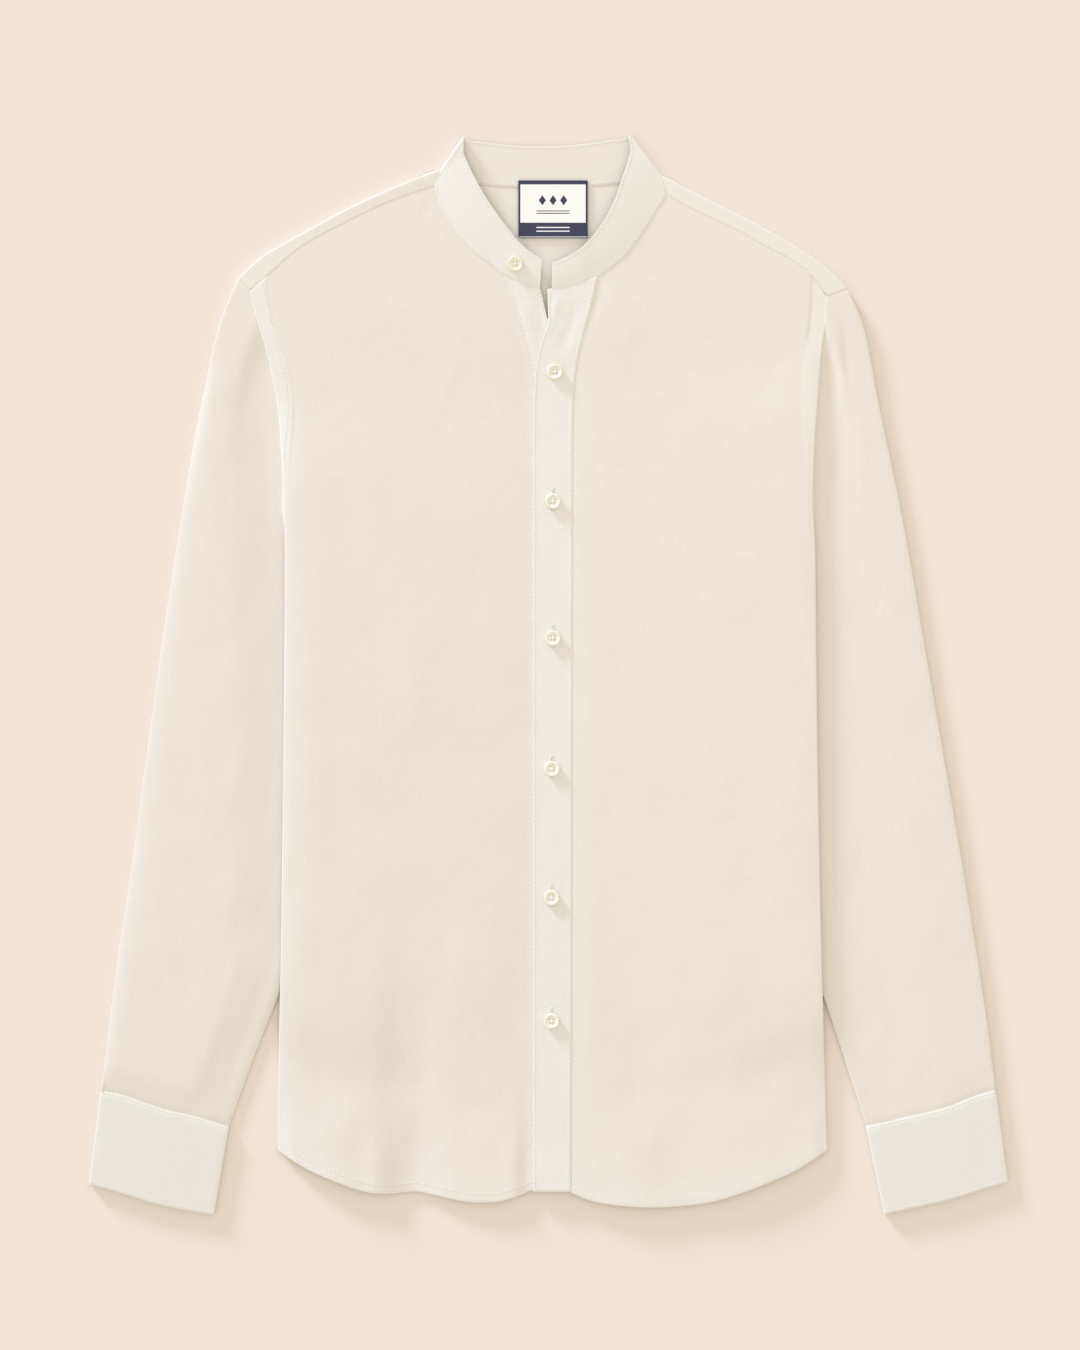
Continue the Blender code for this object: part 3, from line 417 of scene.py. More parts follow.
def spread(points: tuple, count: int) -> Array:
    """count + 1 points spaced evenly along the curve through the given ones."""
    return along(smooth_line(points), np.linspace(0.0, 1.0, count + 1))


def table_value(table: tuple, y: Values, column: int) -> Array:
    """Column of a table of heights at height y, read from a smooth curve."""
    line = smooth_line([(row[0], row[column]) for row in table])
    order = np.argsort(line[:, 0])
    return np.interp(y, line[order, 0], line[order, 1])


def offset(line: Array, distance: float) -> Array:
    """A plan line moved to its left by distance."""
    ahead = np.gradient(line, axis=0)
    ahead /= norm(ahead, axis=1)[:, None]
    return line + distance * np.column_stack([-ahead[:, 1], ahead[:, 0]])


def coons(first: Array, last: Array, start: Array, end: Array,
          shares: tuple | Array | None = None) -> Array:
    """Rows of plan points between four edges.

    Args:
        first, last: the first and the last row.
        start, end: the first and the last column.
        shares: how far each row lies from first to last, evenly spaced if not given.

    Returns:
        The grid of plan points.
    """
    if shares is None:
        shares = np.linspace(0.0, 1.0, len(start))
    u = np.linspace(0.0, 1.0, len(first))[None, :, None]
    v = np.array(shares)[:, None, None]
    corners = mix(mix(first[0], first[-1], u), mix(last[0], last[-1], u), v)
    return mix(first[None], last[None], v) + mix(start[:, None], end[:, None], u) - corners


def fold_share(angle: float) -> Pair:
    """Reach inwards and rise of a squared round fold at an angle, as shares of its radius."""
    turn = radians(angle)
    up = abs(cos(turn)) ** FOLD_SQUARE
    return 1.0 - abs(sin(turn)) ** FOLD_SQUARE, 1.0 - (up if angle < 90.0 else -up)


def crease_height(table: tuple, x: Array, y: Array) -> Array:
    """Height that the listed creases add.

    Args:
        table: rows of x0, y0, x1, y1, bow, half width and height.
        x, y: plan places.

    Returns:
        The added height at each place.
    """
    total = np.zeros_like(x)
    for x0, y0, x1, y1, bow, width, height in table:
        run = np.array((x1 - x0, y1 - y0))
        reach = float(norm(run))
        t = ((x - x0) * run[0] + (y - y0) * run[1]) / reach ** 2
        away = (run[0] * (y - y0) - run[1] * (x - x0)) / reach - bow * 4.0 * t * (1.0 - t)
        fade = ease(3.0 * t) * ease(3.0 * (1.0 - t))
        total += height * fade * np.exp(-(away / width) ** 2)
    return total


def ripple(x: Array, y: Array, turn: float) -> Array:
    """Faint uneven wave of cloth that has been worn, about 0.1 mm high.

    Args:
        x, y: plan places.
        turn: changes the pattern from piece to piece.

    Returns:
        The added height at each place.
    """
    total = np.zeros_like(x)
    up, across = RIPPLE_BENDS
    for k, (wavelength, height) in enumerate(RIPPLES):
        angle = turn + GOLDEN_TURN * k
        bend = up[0] * np.sin(y / up[1] + angle) + across[0] * np.sin(x / across[1] + 2.0 * angle)
        phase = (x * cos(angle) + y * sin(angle) + bend) * 2.0 * pi / wavelength
        total += height * np.sin(phase + 3.0 * angle)
    return total


# ---- how it lies flat
@dataclass(frozen=True)
class Lay:
    """Heights of the shirt's layers as it lies, and the seam lines they share.

    Heights are those of a cloth's middle surface.
    """

    cloth: float = 1.0
    yoke_cloth: float = 1.2
    band_cloth: float = 1.6
    seam: float = 0.3
    join: float = -0.3
    underarm_y: float = 128.0
    hem_side_y: float = -357.0
    yoke_back_y: float = 258.0
    tuck_lift: float = 3.8
    shoulder_z: float = 5.0
    side_z: float = 8.1
    hem_side_z: float = 4.5
    centre_low: Pair = (2.2, 3.4)
    band_low: Pair = (2.1, 4.0)
    centre_rise: float = 1.8
    swell: float = 1.0
    swell_reach: Pair = (44.0, 2.0)
    tuck_across: Pair = (80.0, 148.0)
    tuck_above_hem: Pair = (-300.0, -250.0)
    tuck_below_yoke: Pair = (152.0, 92.0)
    centre_rise_y: Pair = (200.0, 288.0)
    side_rise_y: tuple[Pair, ...] = ((215.0, 130.0), (252.0, 175.0))
    side_fall_y: Pair = (-240.0, -310.0)
    curl_y: Pair = (142.0, 116.0)
    fold_end_y: Pair = (300.0, 240.0)
    armhole_z: float = 1.9
    armhole_drop_y: Pair = (272.0, 238.0)
    body_rows: int = 14
    armhole_rows: int = 8
    yoke_columns: int = 7
    neck_columns: int = 6

    def side_x(self, side: Side, y: Values) -> Array:
        """Distance of the body's edge from the centre line."""
        return table_value(SIDE_TABLE, y, 1 + side.number)

    def placket_x(self, y: Values, column: int) -> Array:
        """One edge of the front bands at height y."""
        return table_value(PLACKET_TABLE, y, column)

    def band_edge(self, side: Side, y: Values) -> Array:
        """Where a front meets its band at height y."""
        return self.placket_x(y, BUTTON_LEFT if side is Side.RIGHT else HOLE_RIGHT)

    def back_lift(self, x: Array, y: Array) -> Array:
        """How far the back panel stands off the floor over a tucked sleeve."""
        level = ramp(y, self.tuck_above_hem) * ramp(y, self.tuck_below_yoke)
        return self.tuck_lift * ramp(np.abs(x), self.tuck_across) * level

    def centre_lift(self, y: Values) -> Values:
        """How far the bands, and the fronts beside them, rise towards the collar."""
        return self.centre_rise * ramp(y, self.centre_rise_y)

    def centre_z(self, side: Side, y: Array) -> Array:
        """A front where it meets its band."""
        return self.centre_low[side.number] + self.centre_lift(y)

    def band_z(self, band: Band, y: Values) -> Values:
        """One band of the front opening."""
        return self.band_low[band.side.number] + self.centre_lift(y)

    def hem_swell(self, above_hem: Array) -> Array:
        """How far the fronts and bands are lifted near the hem."""
        return ramp(above_hem, self.swell_reach) * self.swell

    def front_side_z(self, side: Side, y: Values) -> Values:
        """A front at the body's edge, before it curls down."""
        above = mix(self.shoulder_z, self.side_z, ramp(y, self.side_rise_y[side.number]))
        return mix(above, self.hem_side_z, ramp(y, self.side_fall_y))

    def front_z(self, side: Side, x: Array, y: Array) -> Array:
        """A front panel with its broad folds."""
        inner = np.abs(self.band_edge(side, y))
        share = np.clip((np.abs(x) - inner) / (self.side_x(side, y) - inner), 0.0, 1.0)
        window = 4.0 * share * (1.0 - share) * ramp(y, self.fold_end_y)
        folds = np.zeros_like(share)
        for x0, y0, x1, y1, width, height in FOLD_TABLE[side]:
            reach = float(np.hypot(x1 - x0, y1 - y0))
            t = ((x - x0) * (x1 - x0) + (y - y0) * (y1 - y0)) / reach ** 2
            away = np.abs((x1 - x0) * (y - y0) - (y1 - y0) * (x - x0)) / reach
            folds += height * ease(2.0 * np.minimum(t, 1.0 - t)) / (1.0 + (away / width) ** 4)
        return mix(self.centre_z(side, y), self.front_side_z(side, y), share) + window * folds

    def side_foot_z(self, side: Side, y: Array) -> Array:
        """The foot of a front's curled edge: the armhole seam, or the back panel's edge."""
        seat = self.cloth + self.back_lift(self.side_x(side, y), y) + self.seam
        armhole = mix(self.shoulder_z, self.armhole_z, ramp(y, self.armhole_drop_y))
        return mix(np.maximum(seat, armhole), seat, ramp(y, self.curl_y))

    def armhole_line(self, side: Side) -> Array:
        """Armhole seam from the shoulder's tip to the underarm."""
        top = SIDE_TABLE[0][0] if side is Side.RIGHT else YOKE_SEAM[side][0][1]
        heights = np.linspace(SIDE_TABLE[0][0], self.underarm_y, self.armhole_rows + 1)
        heights[0] = top
        seam = np.column_stack([side.sign * self.side_x(side, heights), heights])
        return np.vstack([SHOULDER_FOLD[side][0], seam])

    def body_heights(self, low: float, high: float) -> Array:
        """Heights of a panel's rows, from its hem past the underarm to its top."""
        body = np.linspace(low, self.underarm_y, self.body_rows + 1)
        chest = np.linspace(self.underarm_y, high, self.armhole_rows + 1)
        return np.concatenate([body, chest[1:]])


LAY = Lay()


# ---- finishes
def linear(colour: Colour) -> tuple[float, float, float, float]:
    """An sRGB colour of 0 to 255 as the linear colour that a shader takes."""
    channels = [c / 255.0 for c in colour]
    return (*(c / 12.92 if c < 0.04045 else ((c + 0.055) / 1.055) ** 2.4 for c in channels), 1.0)


class Recipe:
    """Builder of one procedural material."""

    def __init__(self, name: str) -> None:
        """Start a material with a Principled shader."""
        self.material = bpy.data.materials.new(name)
        self.material.use_nodes = True
        self.nodes = self.material.node_tree.nodes
        self.shader = self.nodes["Principled BSDF"]

    def add(self, kind: str, inputs: dict | None = None, **settings: object) -> bpy.types.Node:
        """Add a node.

        Args:
            kind: the node's type without the ShaderNode prefix.
            inputs: values or output sockets for its inputs, by name or number.
            settings: the node's own properties.

        Returns:
            The node.
        """
        node = self.nodes.new("ShaderNode" + kind)
        for name, value in settings.items():
            setattr(node, name, value)
        for name, value in (inputs or {}).items():
            self.feed(node.inputs[name], value)
        return node

    def feed(self, socket: Socket, value: object) -> None:
        """Link an output to a socket, or set the socket's value."""
        if isinstance(value, Socket):
            self.material.node_tree.links.new(value, socket)
        else:
            socket.default_value = value

    def math(self, operation: str, *values: object) -> Socket:
        """Output of a Math node."""
        return self.add("Math", dict(enumerate(values)), operation=operation).outputs[0]

    def noise(self, vector: Socket, stretch: Triple, place: Triple = (0.0, 0.0, 0.0), detail: float = 2.0,
              roughness: float = 0.5) -> Socket:
        """Noise from 0 to 1 with its middle at 0.5, stretched along the cloth."""
        spot = self.add("Mapping", {"Vector": vector, "Location": place, "Scale": stretch})
        return self.add("TexNoise", {"Vector": spot.outputs[0], "Scale": 1.0, "Detail": detail,
                                     "Roughness": roughness}).outputs["Fac"]

    def weighted(self, *pairs: tuple[Socket, float]) -> Socket:
        """Sum of sockets, each less 0.5 and times its weight."""
        total = None
        for socket, weight in pairs:
            part = self.math("MULTIPLY_ADD", socket, weight, -0.5 * weight)
            total = part if total is None else self.math("ADD", total, part)
        return total

    def blend(self, factor: Socket, first: Colour, second: Colour) -> Socket:
        """Mix of two sRGB colours."""
        return self.add("Mix", {"Factor": factor, 6: linear(first), 7: linear(second)},
                        data_type="RGBA").outputs[2]

    def shaded(self, colour: object, shade: Socket) -> Socket:
        """A colour made lighter or darker by a factor near 1."""
        return self.add("VectorMath", {0: colour, "Scale": shade}, operation="SCALE").outputs[0]

    def highest(self, *marks: Socket) -> Socket:
        """The highest of several values."""
        total = marks[0]
        for mark in marks[1:]:
            total = self.math("MAXIMUM", total, mark)
        return total

    def set(self, **values: object) -> None:
        """Set or link the shader's sockets; an underscore stands for a space."""
        for name, value in values.items():
            self.feed(self.shader.inputs[name.replace("_", " ")], value)

    def bump(self, height: Socket, distance: float, strength: float) -> None:
        """Raise the surface by height times distance, in metres."""
        node = self.add("Bump", {"Height": height, "Distance": distance, "Strength": strength})
        self.set(Normal=node.outputs["Normal"])


@dataclass(frozen=True)
class LinenFinish:
    """Washed linen: uneven yarns both ways, slubs, and a whiter tone where it is doubled.

    The cloth attribute of a mesh gives the place along weft and warp, and the layers, which also hold
    painted highlights and painted shade.
    """

    single: Colour
    double: Colour
    yarn: float = 0.85
    yarn_contrast: float = 0.035
    slub_contrast: float = 0.045
    mottle_contrast: float = 0.04
    # painted shade: lighter towards the collar, darker towards the hem, by this share per metre of height
    gradient: float = 0.055
    roughness: float = 0.88
    sheen: float = 0.05
    sheen_roughness: float = 0.6
    specular: float = 0.2

    def build(self, name: str, turn: float) -> Material:
        """Make the material.

        Args:
            name: the material's name.
            turn: moves the pattern, so that no two pieces repeat it.

        Returns:
            The material.
        """
        r = Recipe(name)
        cloth = r.add("Attribute", attribute_name="cloth").outputs["Vector"]
        layers = r.add("SeparateXYZ", {0: cloth}).outputs["Z"]
        place = (7.3 * turn, 3.1 * turn, turn)
        fine, long = 1.0 / (self.yarn * MM), 1.0 / (14.0 * self.yarn * MM)
        warp = r.noise(cloth, (fine, long, 0.0), place, 2.0, 0.6)
        weft = r.noise(cloth, (long, fine, 0.0), place, 2.0, 0.6)
        slub_up = r.noise(cloth, (420.0, 22.0, 0.0), place, 3.0, 0.6)
        slub_across = r.noise(cloth, (24.0, 520.0, 0.0), place, 3.0, 0.6)
        mottle = r.noise(cloth, (38.0, 30.0, 0.0), place, 4.0, 0.6)
        tone = r.weighted((warp, self.yarn_contrast), (weft, self.yarn_contrast),
                          (slub_up, self.slub_contrast), (slub_across, self.slub_contrast),
                          (mottle, self.mottle_contrast))
        base = r.blend(layers, self.single, self.double)
        # painted shade that darkens the cloth towards the hem
        height = r.add("SeparateXYZ", {0: r.add("TexCoord").outputs["Object"]}).outputs["Y"]
        shade = r.math("ADD", tone, r.math("MULTIPLY_ADD", height, self.gradient, 1.0))
        tinted = r.shaded(base, shade)
        crinkle = r.noise(cloth, (150.0, 120.0, 0.0), place, 4.0, 0.62)
        relief = r.weighted((warp, 0.5), (weft, 0.5), (slub_up, 0.7), (slub_across, 0.7), (crinkle, 1.4))
        r.bump(relief, 0.18 * MM, 0.4)
        r.set(Base_Color=tinted, Roughness=self.roughness, Sheen_Weight=self.sheen,
              Sheen_Roughness=self.sheen_roughness, Specular_IOR_Level=self.specular)
        return r.material


@dataclass(frozen=True)
class ThreadFinish:
    """Matt sewing thread with its twist."""

    colour: Colour
    roughness: float = 0.75

    def build(self, name: str) -> Material:
        """Make the material."""
        r = Recipe(name)
        place = r.add("TexCoord").outputs["Object"]
        twist = r.noise(place, (2600.0, 2600.0, 2600.0), detail=1.0)
        shade = r.math("ADD", r.weighted((twist, 0.16)), 1.0)
        tinted = r.shaded(linear(self.colour)[:3], shade)
        r.set(Base_Color=tinted, Roughness=self.roughness)
        r.bump(twist, 0.05 * MM, 0.6)
        return r.material


@dataclass(frozen=True)
class ResinFinish:
    """Ivory resin with a faint swirl and a soft polish."""

    light: Colour = (248, 242, 224)
    dark: Colour = (238, 229, 203)
    roughness: float = 0.3
    uneven: float = 0.12
    coat: float = 0.25
    coat_roughness: float = 0.2

    def build(self, name: str) -> Material:
        """Make the material."""
        r = Recipe(name)
        place = r.add("TexCoord").outputs["Object"]
        cloud = r.noise(place, (420.0, 250.0, 250.0), detail=4.0, roughness=0.6)
        swirl = r.add("MapRange", {0: cloud, 1: 0.35, 2: 0.7}).outputs[0]
        base = r.blend(swirl, self.light, self.dark)
        gloss = r.add("MapRange", {0: cloud, 1: 0.3, 2: 0.7, 3: self.roughness,
                                   4: self.roughness + self.uneven}).outputs[0]
        r.set(Base_Color=base, Roughness=gloss, Coat_Weight=self.coat, Coat_Roughness=self.coat_roughness)
        r.bump(cloud, 0.06 * MM, 0.3)
        return r.material


@dataclass(frozen=True)
class LabelFinish:
    """Woven satin label: a navy frame and foot on a cream field, with a plain ornament."""

    field_colour: Colour = (250, 247, 239)
    navy: Colour = (47, 51, 79)
    side_border: float = 1.5
    top_border: float = 3.0
    foot_top: float = -10.2
    foot_bottom: float = -20.6
    hem_line: float = -21.1
    diamond: float = 2.7
    diamond_pitch: float = 8.0
    diamond_y: float = 6.6
    diamond_slope: float = 0.7
    rule_reach: float = 12.5
    rule_half: float = 0.35
    field_rules: Pair = (-1.4, -3.2)
    foot_rule_half: float = 0.4
    foot_rules: Pair = (-13.8, -16.6)

    def build(self, name: str, size: Pair) -> Material:
        """Make the material.

        Args:
            name: the material's name.
            size: width and height of the label.

        Returns:
            The material.
        """
        r = Recipe(name)
        cloth = r.add("Attribute", attribute_name="cloth").outputs["Vector"]
        parts = r.add("SeparateXYZ", {0: cloth})
        x = r.math("DIVIDE", parts.outputs["X"], MM)
        y = r.math("DIVIDE", parts.outputs["Y"], MM)
        across = r.math("ABSOLUTE", x)

        def between(value: Socket, low: float, high: float) -> Socket:
            """1 where value lies between low and high."""
            above = r.math("GREATER_THAN", value, low)
            return r.math("MULTIPLY", above, r.math("LESS_THAN", value, high))

        def rule(height: float, half: float) -> Socket:
            """1 on a thin level line."""
            line = between(y, height - half, height + half)
            return r.math("MULTIPLY", line, r.math("LESS_THAN", across, self.rule_reach))

        half_pitch = self.diamond_pitch / 2
        step = r.math("PINGPONG", r.math("ADD", x, half_pitch), half_pitch)
        aside = r.math("SUBTRACT", half_pitch, step)
        tall = r.math("ABSOLUTE", r.math("SUBTRACT", y, self.diamond_y))
        away = r.math("ADD", aside, r.math("MULTIPLY", tall, self.diamond_slope))
        lozenge = r.math("LESS_THAN", away, self.diamond)
        row = r.math("MULTIPLY", lozenge, r.math("LESS_THAN", across, 1.5 * self.diamond_pitch))
        frame = r.math("GREATER_THAN", across, size[0] / 2 - self.side_border)
        head = r.math("GREATER_THAN", y, size[1] / 2 - self.top_border)
        foot = between(y, self.foot_bottom, self.foot_top)
        hem = r.math("LESS_THAN", y, self.hem_line)
        navy = r.highest(row, frame, head, foot, hem,
                         *(rule(height, self.rule_half) for height in self.field_rules))
        pale = r.highest(*(rule(height, self.foot_rule_half) for height in self.foot_rules),
                         between(y, self.hem_line, self.foot_bottom))
        navy = r.math("MULTIPLY", navy, r.math("SUBTRACT", 1.0, pale))
        base = r.blend(navy, self.field_colour, self.navy)
        weft = r.noise(cloth, (500.0, 3600.0, 0.0), detail=2.0)
        warp = r.noise(cloth, (3600.0, 500.0, 0.0), detail=2.0)
        shade = r.math("ADD", r.weighted((weft, 0.08), (warp, 0.08)), 1.0)
        tinted = r.shaded(base, shade)
        r.bump(r.weighted((weft, 0.5), (warp, 0.5)), 0.1 * MM, 0.5)
        r.set(Base_Color=tinted, Roughness=0.5, Sheen_Weight=0.1)
        return r.material


@dataclass(frozen=True)
class PaperFinish:
    """Matt backdrop paper."""

    colour: Colour = (237, 224, 210)

    def build(self, name: str) -> Material:
        """Make the material."""
        r = Recipe(name)
        place = r.add("TexCoord").outputs["Object"]
        grain = r.noise(place, (900.0, 900.0, 900.0), detail=3.0)
        shade = r.math("ADD", r.weighted((grain, 0.01)), 1.0)
        tinted = r.shaded(linear(self.colour)[:3], shade)
        r.set(Base_Color=tinted, Roughness=0.95, Specular_IOR_Level=0.05)
        return r.material


# ---- cloth pieces
@dataclass
class ClothSheet:
    """A piece of cloth as a fine grid of points on its middle surface.

    Attributes:
        name: the piece's name.
        node: the solid that it stands for.
        points: rows of places; NaN leaves a place open.
        thickness: the wall.
        weave: place on the flat cloth for each point, weft then warp.
        layers: 0 on single cloth to 1 on doubled cloth for each point, with painted highlights on the
            fronts and painted shade on the collar.
        closed: the last column joins the first, which makes a tube.
        rests_on: the nodes that it lies on.
        normals: direction of the surface at each point.
    """

    name: str
    node: str
    points: Array
    thickness: float
    weave: Array
    layers: Array
    closed: bool = False
    rests_on: tuple[str, ...] = ()
    normals: Array = field(init=False)

    def __post_init__(self) -> None:
        """Work out the surface's normals."""
        ring = self.points
        if self.closed:
            ring = np.concatenate([ring[:, -1:], ring, ring[:, :1]], axis=1)
        down = np.gradient(ring, axis=0)
        side = np.gradient(ring, axis=1)
        normal = np.cross(side, down)
        size = norm(normal, axis=2, keepdims=True)
        normal = normal / np.where(size > 0.0, size, 1.0)
        self.normals = normal[:, 1:-1] if self.closed else normal

    def cells(self) -> list[tuple[int, int, int, int]]:
        """Corner numbers of each face whose corners are all there."""
        rows, columns = self.points.shape[:2]
        there = ~np.isnan(self.points[..., 0])
        number = np.arange(rows * columns).reshape(rows, columns)
        after = np.roll(number, -1, axis=1)
        beside = np.roll(there, -1, axis=1)
        whole = there[:-1] & beside[:-1] & there[1:] & beside[1:]
        if not self.closed:
            whole[:, -1] = False
        quads = np.stack([number[:-1], after[:-1], after[1:], number[1:]], axis=2)
        return [tuple(quad) for quad in quads[whole].tolist()]

    def flat_size(self) -> Triple:
        """Width, length and area of the cut in metres, all round on a tube."""
        flat = self.points.reshape(-1, 3)
        corners = flat[np.array(self.cells())]
        one = np.cross(corners[:, 1] - corners[:, 0], corners[:, 2] - corners[:, 0])
        two = np.cross(corners[:, 2] - corners[:, 0], corners[:, 3] - corners[:, 0])
        total = 0.5 * float(norm(one, axis=1).sum() + norm(two, axis=1).sum())
        there = ~np.isnan(self.points[..., 0])
        span = np.ptp(self.weave[there], axis=0)
        width, length = float(span[0]) * MM, float(span[1]) * MM
        return width, length, min(total * MM * MM, width * length)

    def build(self, material: Material, slot: str) -> Piece:
        """Make the piece: its sheet and its wall with rounded rims.

        Args:
            material: its finish.
            slot: not used.

        Returns:
            The finished object.
        """
        flat = self.points.reshape(-1, 3)
        keep = ~np.isnan(flat[:, 0])
        renumber = np.cumsum(keep) - 1
        faces = [tuple(int(renumber[c]) for c in cell) for cell in self.cells()]
        item = add_mesh(self.name, flat[keep], faces, material)
        woven = np.dstack([self.weave * MM, self.layers]).reshape(-1, 3)[keep]
        cloth = item.data.attributes.new("cloth", "FLOAT_VECTOR", "POINT")
        cloth.data.foreach_set("vector", woven.ravel())
        wall = item.modifiers.new("wall", "SOLIDIFY")
        wall.thickness = self.thickness * MM
        wall.offset = 0.0
        wall.use_quality_normals = True
        add_bevel(item, RIM_ROUND * self.thickness, RIM_SEGMENTS, RIM_ANGLE)
        apply_modifiers(item)
        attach(item, "root")
        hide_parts(self.node)
        width, length, area = self.flat_size()
        LOG.info("%s: %d faces, cut %.0f x %.0f mm", self.name, len(item.data.polygons),
                 width / MM, length / MM)
        return item

    def edge_path(self, edge: Edge, inset: float | Array, face: float = 1.0,
                  span: Pair = (0.0, 1.0)) -> Array:
        """Line on the cloth's surface beside one of its edges.

        Args:
            edge: the edge.
            inset: distance from the edge, one number or one for each row or column.
            face: 1 for the side that the normals point to, -1 for the other.
            span: part of the edge, as shares of its rows or columns.

        Returns:
            Points just above the cloth, with NaN where there is none.
        """
        points, normals = self.points, self.normals
        if edge in (Edge.FIRST_ROW, Edge.LAST_ROW):
            points, normals = points.transpose(1, 0, 2), normals.transpose(1, 0, 2)
        if edge in (Edge.LAST_ROW, Edge.LAST_COLUMN):
            points, normals = points[:, ::-1], normals[:, ::-1]
        insets = np.broadcast_to(inset, (len(points),))
        low, high = (int(round(s * (len(points) - 1))) for s in span)
        path = []
        for k in range(low, high + 1):
            there = ~np.isnan(points[k, :, 0])
            line, up = points[k][there], normals[k][there]
            run = lengths(line)
            spot = np.array([np.interp(insets[k], run, line[:, c]) for c in range(3)])
            normal = np.array([np.interp(insets[k], run, up[:, c]) for c in range(3)])
            path.append(spot + face * normal * (self.thickness / 2 + THREAD_LIFT))
        return np.array(path)

    def long_edges(self, inset: float, face: float = 1.0) -> list[Array]:
        """Lines on the cloth's surface beside its first and its last column."""
        return [self.edge_path(edge, inset, face) for edge in (Edge.FIRST_COLUMN, Edge.LAST_COLUMN)]


def add_mesh(name: str, points: Array, faces: list[tuple[int, ...]], material: Material) -> Piece:
    """Make a smooth object and put it in the scene.

    Args:
        name: the object's name.
        points: its points, in millimetres.
        faces: the numbers of each face's corners.
        material: its finish.

    Returns:
        The object.
    """
    mesh = bpy.data.meshes.new(name)
    mesh.from_pydata((points * MM).tolist(), [], faces)
    mesh.materials.append(material)
    mesh.shade_smooth()
    item = bpy.data.objects.new(name, mesh)
    bpy.context.scene.collection.objects.link(item)
    return item


def add_bevel(item: Piece, width: float, segments: int, angle: float) -> None:
    """Round every edge that turns by more than an angle in degrees."""
    bevel = item.modifiers.new("rim", "BEVEL")
    bevel.width = width * MM
    bevel.segments = segments
    bevel.limit_method = "ANGLE"
    bevel.angle_limit = radians(angle)


def pick_alone(item: Piece) -> None:
    """Make an object the active one and the only one that is selected."""
    bpy.ops.object.select_all(action="DESELECT")
    item.select_set(True)
    bpy.context.view_layer.objects.active = item


def apply_modifiers(item: Piece) -> None:
    """Apply every modifier of a piece, in order."""
    pick_alone(item)
    for modifier in list(item.modifiers):
        bpy.ops.object.modifier_apply(modifier=modifier.name)


def unrolled(points: Array) -> Array:
    """Places on the flat cloth, measured along the grid's rows and columns.

    Args:
        points: rows of places on the middle surface.

    Returns:
        Weft and warp place of each point. The weft one has its zero mid-way.
    """
    across = np.nan_to_num(norm(np.diff(points, axis=1), axis=2))
    weft = np.concatenate([np.zeros((len(points), 1)), np.cumsum(across, axis=1)], axis=1)
    weft -= weft[:, -1:] / 2
    down = np.nan_to_num(norm(np.diff(points, axis=0), axis=2))
    warp = np.concatenate([np.zeros((1, points.shape[1])), np.cumsum(down, axis=0)], axis=0)
    return np.dstack([weft, warp])


@dataclass(frozen=True)
class FrontReach:
    """How far each point of a front lies from its hem, its side edge and its band."""

    hem: Array
    side: Array
    band: Array


